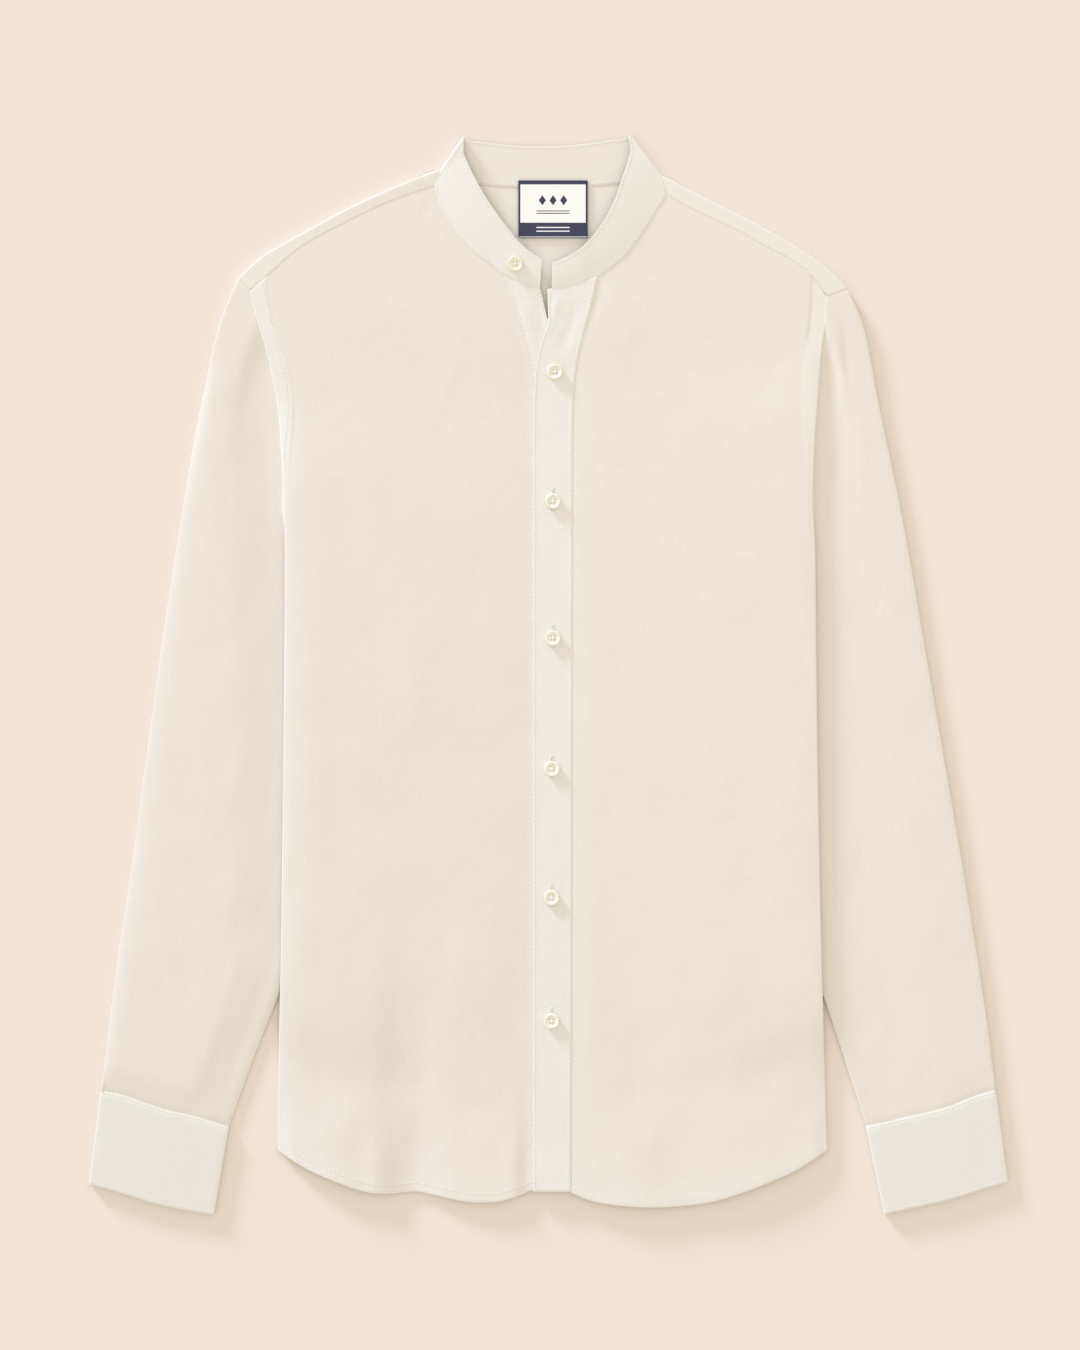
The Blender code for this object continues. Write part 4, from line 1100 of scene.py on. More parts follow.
@dataclass
class FrontPanel:
    """One front, from its hem to the yoke and the neck, its side edge curled down.

    A pair whose name ends in y holds the heights between which something changes, and
    seam_width goes from low to high. The other pairs are for the right and the left.
    """

    side: Side
    curl_angles: tuple[float, ...] = (90.0, 67.5, 45.0, 22.5, 0.0)
    curl_width: float = 1.3
    curl_least: float = 0.5
    curl_steps: int = 2
    side_steps: int = 14
    column_steps: int = 8
    hem_steps: int = 16
    row_steps: int = 9
    calm: float = 12.0
    calm_from_band: float = 3.0
    hem_depth: float = 7.0
    hem_blur: float = 1.4
    hem_rise: float = 0.04
    hem_drop: float = 0.3
    hem_turn: float = 0.7
    hem_lip: float = 0.15
    hem_seat: float = 1.6
    hem_tone: float = 0.1
    # painted highlight: a whiter tone within this reach of the hem, and its strength
    hem_painted_highlight: float = 24.0
    hem_painted_highlight_tone: float = 0.5
    hem_stitch: float = 0.8
    arch_width: float = 19.0
    seam_width: Pair = (6.0, 12.5)
    seam_width_y: Pair = (150.0, 215.0)
    seam_start_y: Pair = (132.0, 172.0)
    seam_blur: float = 1.6
    seam_rise: Pair = (0.35, -0.45)
    seam_rise_low: float = 0.1
    seam_rise_y: Pair = (236.0, 258.0)
    seam_tone: Pair = (1.0, 0.4)
    seam_stitch: float = 1.0
    seam_stitch_start: float = 158.0
    roll_depth: Pair = (1.4, 0.9)
    roll_width: float = 30.0
    roll_y: Pair = (262.0, 196.0)
    # painted highlight: a whiter tone beside the right front's side edge, its reach and strength
    side_painted_highlight: float = 22.0
    side_painted_highlight_tone: float = 0.5
    centre_dip: Pair = (0.3, -0.55)
    centre_dip_width: Pair = (15.0, 42.0)
    centre_seam: float = 5.0
    centre_stitch: float = 1.4
    facing: float = 26.0
    facing_tone: float = 0.35

    def coarse(self) -> Array:
        """The solid's own points."""
        side, sign, lay = self.side, self.side.sign, LAY
        hem = spread(HEM_TABLE[side], lay.yoke_columns + lay.neck_columns)
        neck = spread(NECK_SEAM[side], lay.neck_columns)
        top = np.vstack([spread(YOKE_SEAM[side], lay.yoke_columns), neck[1:]])
        top = offset(top, sign * lay.join / 2)
        heights = lay.body_heights(lay.hem_side_y, YOKE_SEAM[side][0][1])
        inset = lay.cloth / 2
        edge = np.column_stack([sign * (lay.side_x(side, heights) - inset), heights])
        ys = lay.body_heights(PLACKET_HEM_Y[side], NECK_SEAM[side][-1][1])
        centre = np.column_stack([lay.band_edge(side, ys) + sign * lay.join / 2, ys])
        top[0], top[-1], hem[0], hem[-1] = edge[-1], centre[-1], edge[0], centre[0]
        plan = coons(hem, top, edge, centre)
        inward = plan[:, 1] - plan[:, 0]
        inward /= norm(inward, axis=1)[:, None]
        columns = []
        for angle in self.curl_angles:
            reach, fall = fold_share(angle)
            spot = plan[:, 0] + inward * self.curl_width * reach
            drop = lay.front_side_z(side, spot[:, 1]) - lay.side_foot_z(side, spot[:, 1])
            z = lay.front_z(side, spot[:, 0], spot[:, 1]) - drop * fall
            columns.append(np.column_stack([spot, z]))
        for spot in plan[:, 1:].transpose(1, 0, 2):
            columns.append(np.column_stack([spot, lay.front_z(side, spot[:, 0], spot[:, 1])]))
        return np.stack(columns, axis=1)

    def reach(self, points: Array) -> FrontReach:
        """Distances of the fine cloth's points from the panel's edges."""
        x, y = points[..., 0], points[..., 1]
        line = smooth_line(HEM_TABLE[self.side])
        order = np.argsort(line[:, 0])
        return FrontReach(y - np.interp(x, line[order, 0], line[order, 1]),
                          LAY.side_x(self.side, y) - np.abs(x),
                          np.abs(x) - np.abs(LAY.band_edge(self.side, y)))

    def seam_width_at(self, y: Array) -> Array:
        """Width of the felled armhole seam at height y."""
        return mix(*self.seam_width, ramp(y, self.seam_width_y))

    def sheet(self) -> ClothSheet:
        """The fine cloth with its creases, hem and felled armhole seam."""
        coarse = self.coarse()
        curl = len(self.curl_angles) - 1
        columns = [self.curl_steps] * curl + [self.side_steps]
        columns += [self.column_steps] * (coarse.shape[1] - curl - 2)
        rows = [self.hem_steps] + [self.row_steps] * (len(coarse) - 2)
        points = refine(coarse, rows, columns)
        reach = self.reach(points)
        hem = ease((self.hem_depth - reach.hem) / self.hem_blur + 0.5)
        seam = ease((self.seam_width_at(points[..., 1]) - reach.side) / self.seam_blur + 0.5)
        seam = seam * ramp(points[..., 1], self.seam_start_y)
        self.shape(points, reach, hem, seam)
        points, layers = self.turned_hem(points, self.tones(reach, hem, seam))
        name = "front_" + self.side.value
        return ClothSheet(name + "_linen", name, points, LAY.cloth, points[..., :2].copy(), layers,
                          rests_on=("back_panel",))

    def shape(self, points: Array, reach: FrontReach, hem: Array, seam: Array) -> None:
        """Raise and lower the fine cloth's points.

        Args:
            points: the points, which are changed.
            reach: their distances from the panel's edges.
            hem: 1 on the turned hem, 0 off it.
            seam: the same for the felled armhole seam.
        """
        side, number, lay = self.side, self.side.number, LAY
        x, y, z = points[..., 0], points[..., 1], points[..., 2]
        crest = self.curl_steps * (len(self.curl_angles) - 1)
        fall = np.maximum(z[:, crest:crest + 1] - z[:, :1], self.curl_least)
        over_seam = np.clip((z - z[:, :1]) / fall, 0.0, 1.0)
        beside = ease(reach.side / self.calm)
        below_yoke = ease((len(points) - 1 - np.arange(len(points))) / self.row_steps)[:, None]
        middle = beside * ease((reach.band - self.calm_from_band) / self.calm) * below_yoke
        z += (crease_height(FRONT_CREASES[side], x, y) + ripple(x, y, side.sign)) * middle
        felled = self.seam_rise[number]
        if side is Side.LEFT:
            felled = mix(self.seam_rise_low, felled, ramp(y, self.seam_rise_y))
        z += self.hem_rise * hem + felled * seam
        roll = np.clip(1.0 - reach.side / self.roll_width, 0.0, 1.0) ** 2
        z -= self.roll_depth[number] * roll * over_seam * ramp(y, self.roll_y)
        arch = 1.0 - np.exp(-((x - HEM_ARCH_X) / self.arch_width) ** 4)
        z += lay.hem_swell(reach.hem) * beside * arch
        dip = np.exp(-(reach.band / self.centre_dip_width[number]) ** 2)
        dip *= ease(reach.band / self.centre_seam) if side is Side.RIGHT else 1.0
        z -= self.centre_dip[number] * dip * (1.0 - ramp(y, lay.fold_end_y[::-1]))

    def tones(self, reach: FrontReach, hem: Array, seam: Array) -> Array:
        """Layers of cloth on the hem and seam, the left front's facing, and painted highlights beside the
        hem and right side edge.

        Args:
            reach: distances from the panel's edges.
            hem: 1 on the turned hem, 0 off it.
            seam: the same for the felled armhole seam.

        Returns:
            0 on single cloth to 1 on doubled cloth or the brightest painted highlight.
        """
        marks = [self.hem_tone * hem, self.seam_tone[self.side.number] * seam,
                 self.hem_painted_highlight_tone * ease(1.0 - reach.hem / self.hem_painted_highlight)]
        if self.side is Side.RIGHT:
            marks.append(self.side_painted_highlight_tone * ease(1.0 - reach.side / self.side_painted_highlight))
        else:
            marks.append(self.facing_tone * ease(1.0 - reach.band / self.facing))
        return np.clip(np.maximum.reduce(marks), 0.0, 1.0)

    def turned_hem(self, points: Array, layers: Array) -> tuple[Array, Array]:
        """Add the rows of the hem's edge, which drops straight down towards the surface."""
        foot = points[:1].copy()
        foot[..., 2] -= self.hem_drop + self.hem_turn * np.maximum(foot[..., 2] - self.hem_seat, 0.0)
        lip = mix(points[:1], points[1:2], self.hem_lip)
        rows = np.concatenate([foot, points[:1], lip, points[1:]])
        return rows, np.concatenate([layers[:1], layers[:1], layers[:1], layers[1:]])

    def stitch_paths(self, sheet: ClothSheet) -> list[Array]:
        """Rows of stitches: the hem, the inner edge of the felled seam and the band's seam."""
        edge = sheet.points[1, :, 2] - sheet.points[0, :, 2]
        y = sheet.points[:, 0, 1]
        start = int(np.argmax(y > self.seam_stitch_start)) / (len(y) - 1)
        return [sheet.edge_path(Edge.FIRST_ROW, self.hem_depth - self.hem_stitch + edge),
                sheet.edge_path(Edge.FIRST_COLUMN, self.seam_width_at(y) - self.seam_stitch,
                                span=(start, 1.0)), sheet.edge_path(Edge.LAST_COLUMN, self.centre_stitch)]


@dataclass
class BackPanel:
    """The back, from its hem to the yoke, over both tucked sleeves."""

    hem_rise: float = 2.5
    hem_columns: int = 9
    hem_depth: float = 8.0
    hem_blur: float = 3.0
    hem_tone: float = 0.5
    crease_most: float = 0.5
    row_steps: int = 5
    column_steps: int = 6
    flush_y: Pair = (100.0, 120.0)

    def sheet(self) -> ClothSheet:
        """The fine cloth with a few low ridges."""
        lay = LAY
        low = np.linspace(lay.hem_side_y + self.hem_rise, lay.underarm_y, lay.body_rows + 1)
        high = np.linspace(lay.underarm_y, lay.yoke_back_y - lay.seam / 2, lay.armhole_rows - 1)
        heights = np.concatenate([low, high[1:]])
        edges = {}
        for side in Side:
            inset = lay.cloth / 2 * ramp(heights, self.flush_y)
            edges[side] = np.column_stack([side.sign * (lay.side_x(side, heights) - inset), heights])
        hem = np.vstack([spread(HEM_TABLE[Side.RIGHT], self.hem_columns),
                         spread(HEM_TABLE[Side.LEFT], self.hem_columns)[::-1]])
        hem[:, 1] += self.hem_rise
        hem[0], hem[-1] = edges[Side.RIGHT][0], edges[Side.LEFT][0]
        top = np.linspace(edges[Side.RIGHT][-1], edges[Side.LEFT][-1], len(hem))
        plan = coons(hem, top, edges[Side.RIGHT], edges[Side.LEFT])
        z = lay.cloth / 2 + lay.back_lift(plan[..., 0], plan[..., 1])
        points = refine(np.dstack([plan, z]), self.row_steps, self.column_steps)
        x, y = points[..., 0], points[..., 1]
        points[..., 2] += np.clip(crease_height(BACK_CREASES, x, y), 0.0, self.crease_most)
        layers = self.hem_tone * ease((self.hem_depth - np.abs(y - y[:1])) / self.hem_blur + 0.5)
        return ClothSheet("back_linen", "back_panel", points, lay.cloth, points[..., :2].copy(),
                          layers, rests_on=("sleeve_right", "sleeve_left"))


@dataclass
class Yoke:
    """The yoke: flat across the back, folded over each shoulder to its front seam."""

    neck_gap: float = -0.3
    tuck_under: float = 3.0
    seam_rise: float = 0.02
    end_shares: tuple[float, ...] = (0.0, 0.35, 0.7)
    turn_angles: tuple[float, ...] = (*TURN_ANGLES, 180.0)
    doubled: float = 0.4
    flat_steps: int = 8
    turn_steps: int = 4
    seam_steps: int = 6
    column_steps: int = 8
    stitch_inset: float = 1.5

    def shoulder(self, side: Side) -> tuple[Array, Array, Array]:
        """Fold, inward direction and forward seam of one shoulder, from its tip."""
        lay, sign = LAY, side.sign
        fold = spread(SHOULDER_FOLD[side], lay.yoke_columns)
        ahead = fold[-1] - fold[-2]
        fold[-1] += self.tuck_under * ahead / norm(ahead)
        inward = offset(fold, sign) - fold
        end = offset(lay.armhole_line(side), -sign * lay.cloth / 2)
        fold[0] = end[0]
        inward[0] = (end[1] - end[0]) / norm(end[1] - end[0])
        seam = offset(spread(YOKE_SEAM[side], lay.yoke_columns), -sign * lay.join / 2)
        seam[0] = end[1]
        seam[-1] += self.tuck_under * ahead / norm(ahead)
        return fold, inward, seam

    def sheet(self) -> ClothSheet:
        """The fine cloth, doubled all over."""
        lay = LAY
        floor_z = lay.yoke_cloth / 2
        radius = (lay.shoulder_z - floor_z) / 2
        right, left = self.shoulder(Side.RIGHT), self.shoulder(Side.LEFT)
        neck = offset(spread(COLLAR_BACK_BASE, lay.neck_columns + 2), -self.neck_gap)[1:-1]
        fold = np.vstack([right[0], neck, left[0][::-1]])
        inward = np.vstack([right[1], 0.0 * neck, left[1][::-1]])
        seam = np.vstack([right[2], neck, left[2][::-1]])
        bend = fold + inward * radius * FOLD_FLAT
        ends = {}
        for side in Side:
            corner = offset(lay.armhole_line(side), -side.sign * lay.cloth / 2)[1]
            ys = np.array([mix(lay.yoke_back_y + lay.seam / 2, corner[1], s) for s in self.end_shares])
            edge = np.column_stack([side.sign * (lay.side_x(side, ys) - lay.cloth / 2), ys])
            ends[side] = np.vstack([edge, corner, bend[0] if side is Side.RIGHT else bend[-1]])
        low_row = np.linspace(ends[Side.RIGHT][0], ends[Side.LEFT][0], len(bend))
        plan = coons(low_row, bend, ends[Side.RIGHT], ends[Side.LEFT])
        rows = [np.column_stack([row, np.full(len(row), floor_z)]) for row in plan]
        shown = np.arange(len(fold))
        shown = (shown < len(right[0])) | (shown >= len(fold) - len(left[0]))
        for angle in self.turn_angles:
            reach, rise = fold_share(angle)
            spot = fold + inward * radius * FOLD_FLAT * reach
            height = np.full(len(fold), floor_z + radius * rise)
            rows.append(np.column_stack([spot, height]))
        z = np.where(seam[:, 0] < 0, lay.front_z(Side.RIGHT, seam[:, 0], seam[:, 1]),
                     lay.front_z(Side.LEFT, seam[:, 0], seam[:, 1]))
        rows.append(np.column_stack([seam, z + self.seam_rise]))
        coarse = np.array(rows)
        coarse[len(plan):, ~shown] = np.nan
        row_steps = [self.flat_steps] * (len(plan) - 1) + [self.turn_steps] * len(self.turn_angles)
        points = refine(coarse, row_steps + [self.seam_steps], self.column_steps)
        return ClothSheet("yoke_linen", "yoke", points, lay.yoke_cloth, unrolled(points),
                          np.full(points.shape[:2], self.doubled), rests_on=("front_right", "front_left"))

    def stitch_paths(self, sheet: ClothSheet) -> list[Array]:
        """Rows of stitches beside the forward seams."""
        wrap = LAY.yoke_columns / (2 * LAY.yoke_columns + LAY.neck_columns + 2)
        return [sheet.edge_path(Edge.LAST_ROW, self.stitch_inset, -1.0, span)
                for span in ((0.0, wrap), (1.0 - wrap, 1.0))]


@dataclass
class FrontBand:
    """One band of the front opening, from the hem to the collar."""

    band: Band
    stitch_inset: float = 1.6
    rim_rise: float = 0.1
    rim_width: float = 3.2
    calm: float = 5.0
    ripple_share: float = 0.5
    ripple_turn: float = 1.7
    columns: int = 4
    row_steps: int = 12
    column_steps: int = 8

    def sheet(self) -> ClothSheet:
        """The fine band, its edges a little raised by the turned-in cloth."""
        side, sign, lay = self.band.side, self.band.side.sign, LAY
        columns = (BUTTON_LEFT, BUTTON_RIGHT) if side is Side.RIGHT else (HOLE_LEFT, HOLE_RIGHT)
        heights = lay.body_heights(PLACKET_HEM_Y[side], NECK_SEAM[side][-1][1])
        top = offset(spread(BAND_TOP[side], self.columns), sign * lay.join / 2)
        if side is Side.LEFT:
            top = top[::-1]
        low, high = heights[0], heights[-1]
        edges = []
        for column, end in zip(columns, (0, -1)):
            ys = low + (heights - low) * (top[end, 1] - low) / (high - low)
            inset = -sign * lay.join / 2 if column in (BUTTON_LEFT, HOLE_RIGHT) else 0.0
            edges.append(np.column_stack([lay.placket_x(ys, column) + inset, ys]))
            top[end] = edges[-1][-1]
        hem = np.linspace(edges[0][0], edges[1][0], self.columns + 1)
        plan = coons(hem, top, edges[0], edges[1])
        points = refine(np.dstack([plan, lay.band_z(self.band, plan[..., 1])]), self.row_steps,
                        self.column_steps)
        run = np.cumsum(norm(np.diff(points, axis=1), axis=2), axis=1)
        run = np.concatenate([np.zeros((len(run), 1)), run], axis=1)
        from_edge = np.minimum(run, run[:, -1:] - run)
        points[..., 2] += self.rim_rise * (ease(1.0 - from_edge / self.rim_width) - 0.5)
        x, y = points[..., 0], points[..., 1]
        folds = self.ripple_share * ripple(x, y, self.ripple_turn * sign)
        folds += crease_height(BAND_CREASES[self.band], x, y)
        points[..., 2] += folds * ease(from_edge / self.calm)
        points[..., 2] += lay.hem_swell(y - low)
        under = "placket_button" if self.band is Band.BUTTONHOLE else "back_panel"
        return ClothSheet(self.band.value + "_band_linen", "placket_" + self.band.value, points,
                          lay.band_cloth, points[..., :2].copy(), np.ones(points.shape[:2]),
                          rests_on=(under,))

    def stitch_paths(self, sheet: ClothSheet) -> list[Array]:
        """Rows of stitches beside both edges."""
        return sheet.long_edges(self.stitch_inset)


@dataclass
class CollarBand:
    """The stand-up band: its back lies open, its leaves fold over to the front."""

    shares: tuple[float, ...] = (0.0, 1 / 3, 2 / 3, 1.0)
    rise: Pair = (2.0, 1.0)
    crown: float = 0.4
    back_lean: float = 1.4
    band_columns: int = 3
    row_steps: int = 9
    column_steps: int = 10
    leaf_z: float = 2.0
    # painted shade on the low open back, fading out between these two heights
    open_z: Pair = (2.4, 4.6)
    painted_back_shade: float = 0.55
    stitch_inset: float = 1.6

    def leaf(self, side: Side) -> list[Array]:
        """Low and high end of each section of one leaf, from the neck's side forward."""
        sign, lay = side.sign, LAY
        band = Band.BUTTON if side is Side.RIGHT else Band.BUTTONHOLE
        seam = np.vstack([spread(NECK_SEAM[side], lay.neck_columns),
                          spread(BAND_TOP[side], self.band_columns)[1:]])
        base = offset(seam, -sign * lay.join / 2)
        end = 0 if side is Side.RIGHT else -1
        base = np.vstack([COLLAR_BACK_BASE[end], base])
        edge = spread(COLLAR_EDGE[side], len(base) - 1)
        edge[0] = COLLAR_BACK_EDGE[end]
        sections = []
        for k, (low, high) in enumerate(zip(base, edge)):
            if k == 0:
                height = lay.shoulder_z
            elif k <= lay.neck_columns + 1:
                height = float(lay.front_z(side, low[0], low[1]))
            else:
                height = lay.band_z(band, low[1])
            lift = self.rise[0] + self.rise[1] * sin(pi * k / (len(base) - 1))
            sections.append(np.array(((*low, height), (*high, height + lift))))
        return sections

    def turn(self, leaf: Array, back: Array) -> list[Array]:
        """Sections of the half turn from a leaf's first section to the back's."""
        up = leaf[1, :2] - leaf[0, :2]
        out = np.array((-up[1], up[0])) / norm(up)
        if leaf[0, 0] > 0:
            out = -out
        sections = []
        for angle in reversed(TURN_ANGLES):
            radius = (leaf[:, 2] - back[:, 2]) / 2
            reach, rise = fold_share(angle)
            plan = back[:, :2] + out * (radius * FOLD_FLAT * (1.0 - reach))[:, None]
            z = back[:, 2] + radius * rise
            sections.append(np.column_stack([plan, z]))
        return sections

    def coarse(self) -> Array:
        """The solid's own points, sections from the right leaf's end to the left's."""
        lay = LAY
        base = spread(COLLAR_BACK_BASE, lay.neck_columns + 2)
        edge = spread(COLLAR_BACK_EDGE, lay.neck_columns + 2)
        floor_z = lay.band_cloth / 2
        back = [np.array(((*low, floor_z), (*high, floor_z + self.back_lean)))
                for low, high in zip(base, edge)]
        right, left = self.leaf(Side.RIGHT), self.leaf(Side.LEFT)
        sections = right[::-1] + self.turn(right[0], back[0]) + back
        sections += self.turn(left[0], back[-1])[::-1] + left
        first_flat = len(right) + len(TURN_ANGLES)
        rows = []
        for k, (low, high) in enumerate(sections):
            flat = first_flat <= k < first_flat + len(back)
            crown = 0.0 if flat else self.crown
            rows.append([mix(low, high, t) + np.array((0.0, 0.0, crown * sin(pi * t)))
                         for t in self.shares])
        return np.array(rows)

    def sheet(self) -> ClothSheet:
        """The fine band, doubled all over, with painted shade on its low open back."""
        points = refine(self.coarse(), self.row_steps, self.column_steps)
        painted_shade_share = 1.0 - ramp(points[..., 2], self.open_z)
        return ClothSheet("collar_linen", "collar_band", points, LAY.band_cloth, unrolled(points),
                          1.0 - self.painted_back_shade * painted_shade_share, rests_on=("front_right", "front_left"))

    def stitch_paths(self, sheet: ClothSheet) -> list[Array]:
        """Rows of stitches beside the seam and the free edge, on both faces."""
        return [path for face in (1.0, -1.0) for path in sheet.long_edges(self.stitch_inset, face)]

    def seat(self, place: Pair, sheet: ClothSheet) -> tuple[Array, Array]:
        """Place and normal on top of the band's leaf at a plan place."""
        away = np.hypot(sheet.points[..., 0] - place[0], sheet.points[..., 1] - place[1])
        away = np.where(sheet.points[..., 2] > self.leaf_z, away, np.inf)
        row, column = np.unravel_index(np.argmin(away), away.shape)
        normal = sheet.normals[row, column]
        normal = normal if normal[2] > 0 else -normal
        corner = sheet.points[row, column]
        drop = (corner[:2] - np.array(place)) @ normal[:2] / normal[2]
        spot = np.array((*place, corner[2] + drop))
        return spot + normal * (sheet.thickness / 2 + LAY.seam), normal


def tube_grid(plan: Array, tops: Array, floors: Array) -> Array:
    """Flattened tube from rows of plan points and the heights of its two layers.

    Args:
        plan: rows from the outer fold to the inner fold.
        tops: height of the upper layer's points.
        floors: height of the lower layer's points.

    Returns:
        Closed rows of points: the upper layer, the inner fold, the lower layer, the outer fold.
    """
    fold = plan[:, -1]
    ahead = np.gradient(fold, axis=0)
    square = np.column_stack([-ahead[:, 1], ahead[:, 0]])
    square /= norm(square, axis=1)[:, None]
    square *= np.sign(np.sum(square * (plan[:, -2] - fold), axis=1))[:, None]
    rows = []
    for line, top, floor, last in zip(plan, tops, floors, square):
        first = (line[1] - line[0]) / norm(line[1] - line[0])
        half = ((top[0] - floor[0]) / 2, (top[-1] - floor[-1]) / 2)
        flat = line.copy()
        flat[0] = line[0] + first * half[0] * FOLD_FLAT
        flat[-1] = line[-1] + last * half[1] * FOLD_FLAT
        row = list(np.column_stack([flat, top]))
        for angle in TURN_ANGLES:
            reach, rise = fold_share(angle)
            spot = line[-1] + last * half[1] * FOLD_FLAT * reach
            row.append(np.array((*spot, top[-1] - half[1] * rise)))
        row.extend(np.column_stack([flat[::-1], floor[::-1]]))
        for angle in TURN_ANGLES:
            reach, rise = fold_share(angle)
            spot = line[0] + first * half[0] * FOLD_FLAT * reach
            row.append(np.array((*spot, floor[0] + half[0] * rise)))
        rows.append(row)
    return np.array(rows)


def tube_steps(columns: int, top: int, turn: int, floor: int) -> list[int]:
    """Pieces of each interval round a tube whose layers have a number of intervals."""
    turns = [turn] * (len(TURN_ANGLES) + 1)
    return [top] * columns + turns + [floor] * columns + turns


@dataclass
class Sleeve:
    """A sleeve laid beside the body, its inner fold tucked under the back."""

    side: Side
    fold_z: Pair = (3.8, 3.4)
    top_z: Pair = (5.0, 3.7)
    edge_z: float = 1.7
    rounding: Pair = (7.0, 3.0)
    fall_reach: tuple[Pair, ...] = ((38.0, 36.0), (34.0, 70.0))
    fall_y: Pair = (160.0, -60.0)
    fall_bend: Pair = (1.1, 1.8)
    layer_gap: float = 1.15
    seam_reach: Pair = (0.16, 0.055)
    reach_across: Pair = (0.6, 1.0)
    top_steps: int = 5
    turn_steps: int = 2
    floor_steps: int = 3
    row_steps: int = 9
    calm: float = 12.0
    calm_from_body: float = 3.0
    head_rows: float = 14.0
    cuff_rows: float = 4.0
    ripple_turn: float = 4.0
    settle: float = 0.1
    pleat_pitch: float = 17.0
    pleat_height: float = 0.12
    pleat_reach: float = 34.0
    pleat_wander: Pair = (1.3, 9.0)
    cuff_fall: float = 22.0
    cuff_z: float = 3.0
    seam_tone: float = 0.25
    seam_tone_rows: float = 5.0

    def plan(self) -> Array:
        """Plan rows from the armhole to the cuff."""
        side, sign, lay = self.side, self.side.sign, LAY
        column = 1 + side.number
        head = offset(lay.armhole_line(side), -sign * (lay.cloth / 2 - lay.join))
        cuff = spread([row[:2] for row in CUFF_TABLE[side]], len(head) - 1)
        outer_shares, inner_shares = zip(*SLEEVE_STEPS)
        outer = [(sign * row[column], row[0]) for row in SLEEVE_OUTER_TABLE]
        inner = [(sign * row[column], row[0]) for row in SLEEVE_INNER_TABLE]
        outer = along(smooth_line([head[0], *outer]), outer_shares)
        inner = along(smooth_line([head[-1], *inner]), inner_shares)
        return coons(head, cuff, outer, inner, outer_shares)

    def coarse(self) -> Array:
        """The solid's own points."""
        side, lay, plan = self.side, LAY, self.plan()
        ys = plan[0, 1:, 1]
        seam_top = np.concatenate([[lay.shoulder_z], lay.side_foot_z(side, ys)])
        seam_floor = lay.cloth / 2 + lay.back_lift(plan[0, :, 0], plan[0, :, 1])
        u = np.linspace(0.0, 1.0, plan.shape[1])
        k = side.number
        tops, floors = [], []
        for step, line in zip(SLEEVE_STEPS, plan):
            run = lengths(line)
            near = ease(1.0 - mix(*step, u) / mix(*self.seam_reach, ramp(u, self.reach_across)))
            inner = np.minimum(run[-1] - run, np.abs(line[:, 0]) - lay.side_x(side, line[:, 1]))
            high = mix(self.fold_z[k], self.top_z[k], ease(run / self.rounding[k]))
            reach = mix(*self.fall_reach[k], ramp(line[:, 1], self.fall_y))
            level = mix(self.edge_z, high, np.clip(inner / reach, 0.0, 1.0) ** self.fall_bend[k])
            tops.append(mix(level, seam_top, near))
            floors.append(mix(lay.cloth / 2, seam_floor, near))
        return tube_grid(plan, np.array(tops), np.array(floors))

    def sheet(self) -> ClothSheet:
        """The fine sleeve with its creases and the small pleats above the cuff."""
        side, lay = self.side, LAY
        columns = lay.armhole_rows + 1
        across = tube_steps(columns, self.top_steps, self.turn_steps, self.floor_steps)
        points = refine(self.coarse(), self.row_steps, across, closed=True)
        upper = self.top_steps * columns
        x, y = points[..., 0], points[..., 1]
        shown = np.zeros(points.shape[1])
        shown[1:upper] = 1.0
        clear = ease((np.abs(x) - lay.side_x(side, y) - self.calm_from_body) / self.calm)
        rows = np.arange(len(points))[:, None]
        inside = ease(rows / self.head_rows) * ease((len(points) - 1 - rows) / self.cuff_rows)
        weave = unrolled(points)
        to_cuff = weave[-1:, :, 1] - weave[..., 1]
        wander = self.pleat_wander[0] * np.sin(weave[..., 0] / self.pleat_wander[1])
        pleats = self.pleat_height * np.cos(2.0 * pi * weave[..., 0] / self.pleat_pitch + wander)
        pleats *= ease(1.0 - to_cuff / self.pleat_reach)
        folds = crease_height(SLEEVE_CREASES[side], x, y) + ripple(x, y, self.ripple_turn + side.sign)
        points[..., 2] += (folds + pleats - self.settle) * shown * clear * inside
        above = np.arange(upper + 1)
        below = upper + self.turn_steps * (len(TURN_ANGLES) + 1)
        below = below + (upper - above) * self.floor_steps // self.top_steps
        top, lower = points[:, above, 2], points[:, below, 2]
        points[:, above, 2] = np.maximum(top, lower + self.layer_gap * inside)
        fall = ease(1.0 - to_cuff / self.cuff_fall) * shown
        points[..., 2] = mix(points[..., 2], np.minimum(points[..., 2], self.cuff_z), fall)
        layers = self.seam_tone * ease(1.0 - rows / self.seam_tone_rows) * np.ones_like(x)
        return ClothSheet("sleeve_" + side.value + "_linen", "sleeve_" + side.value, points,
                          lay.cloth, weave, layers, closed=True)


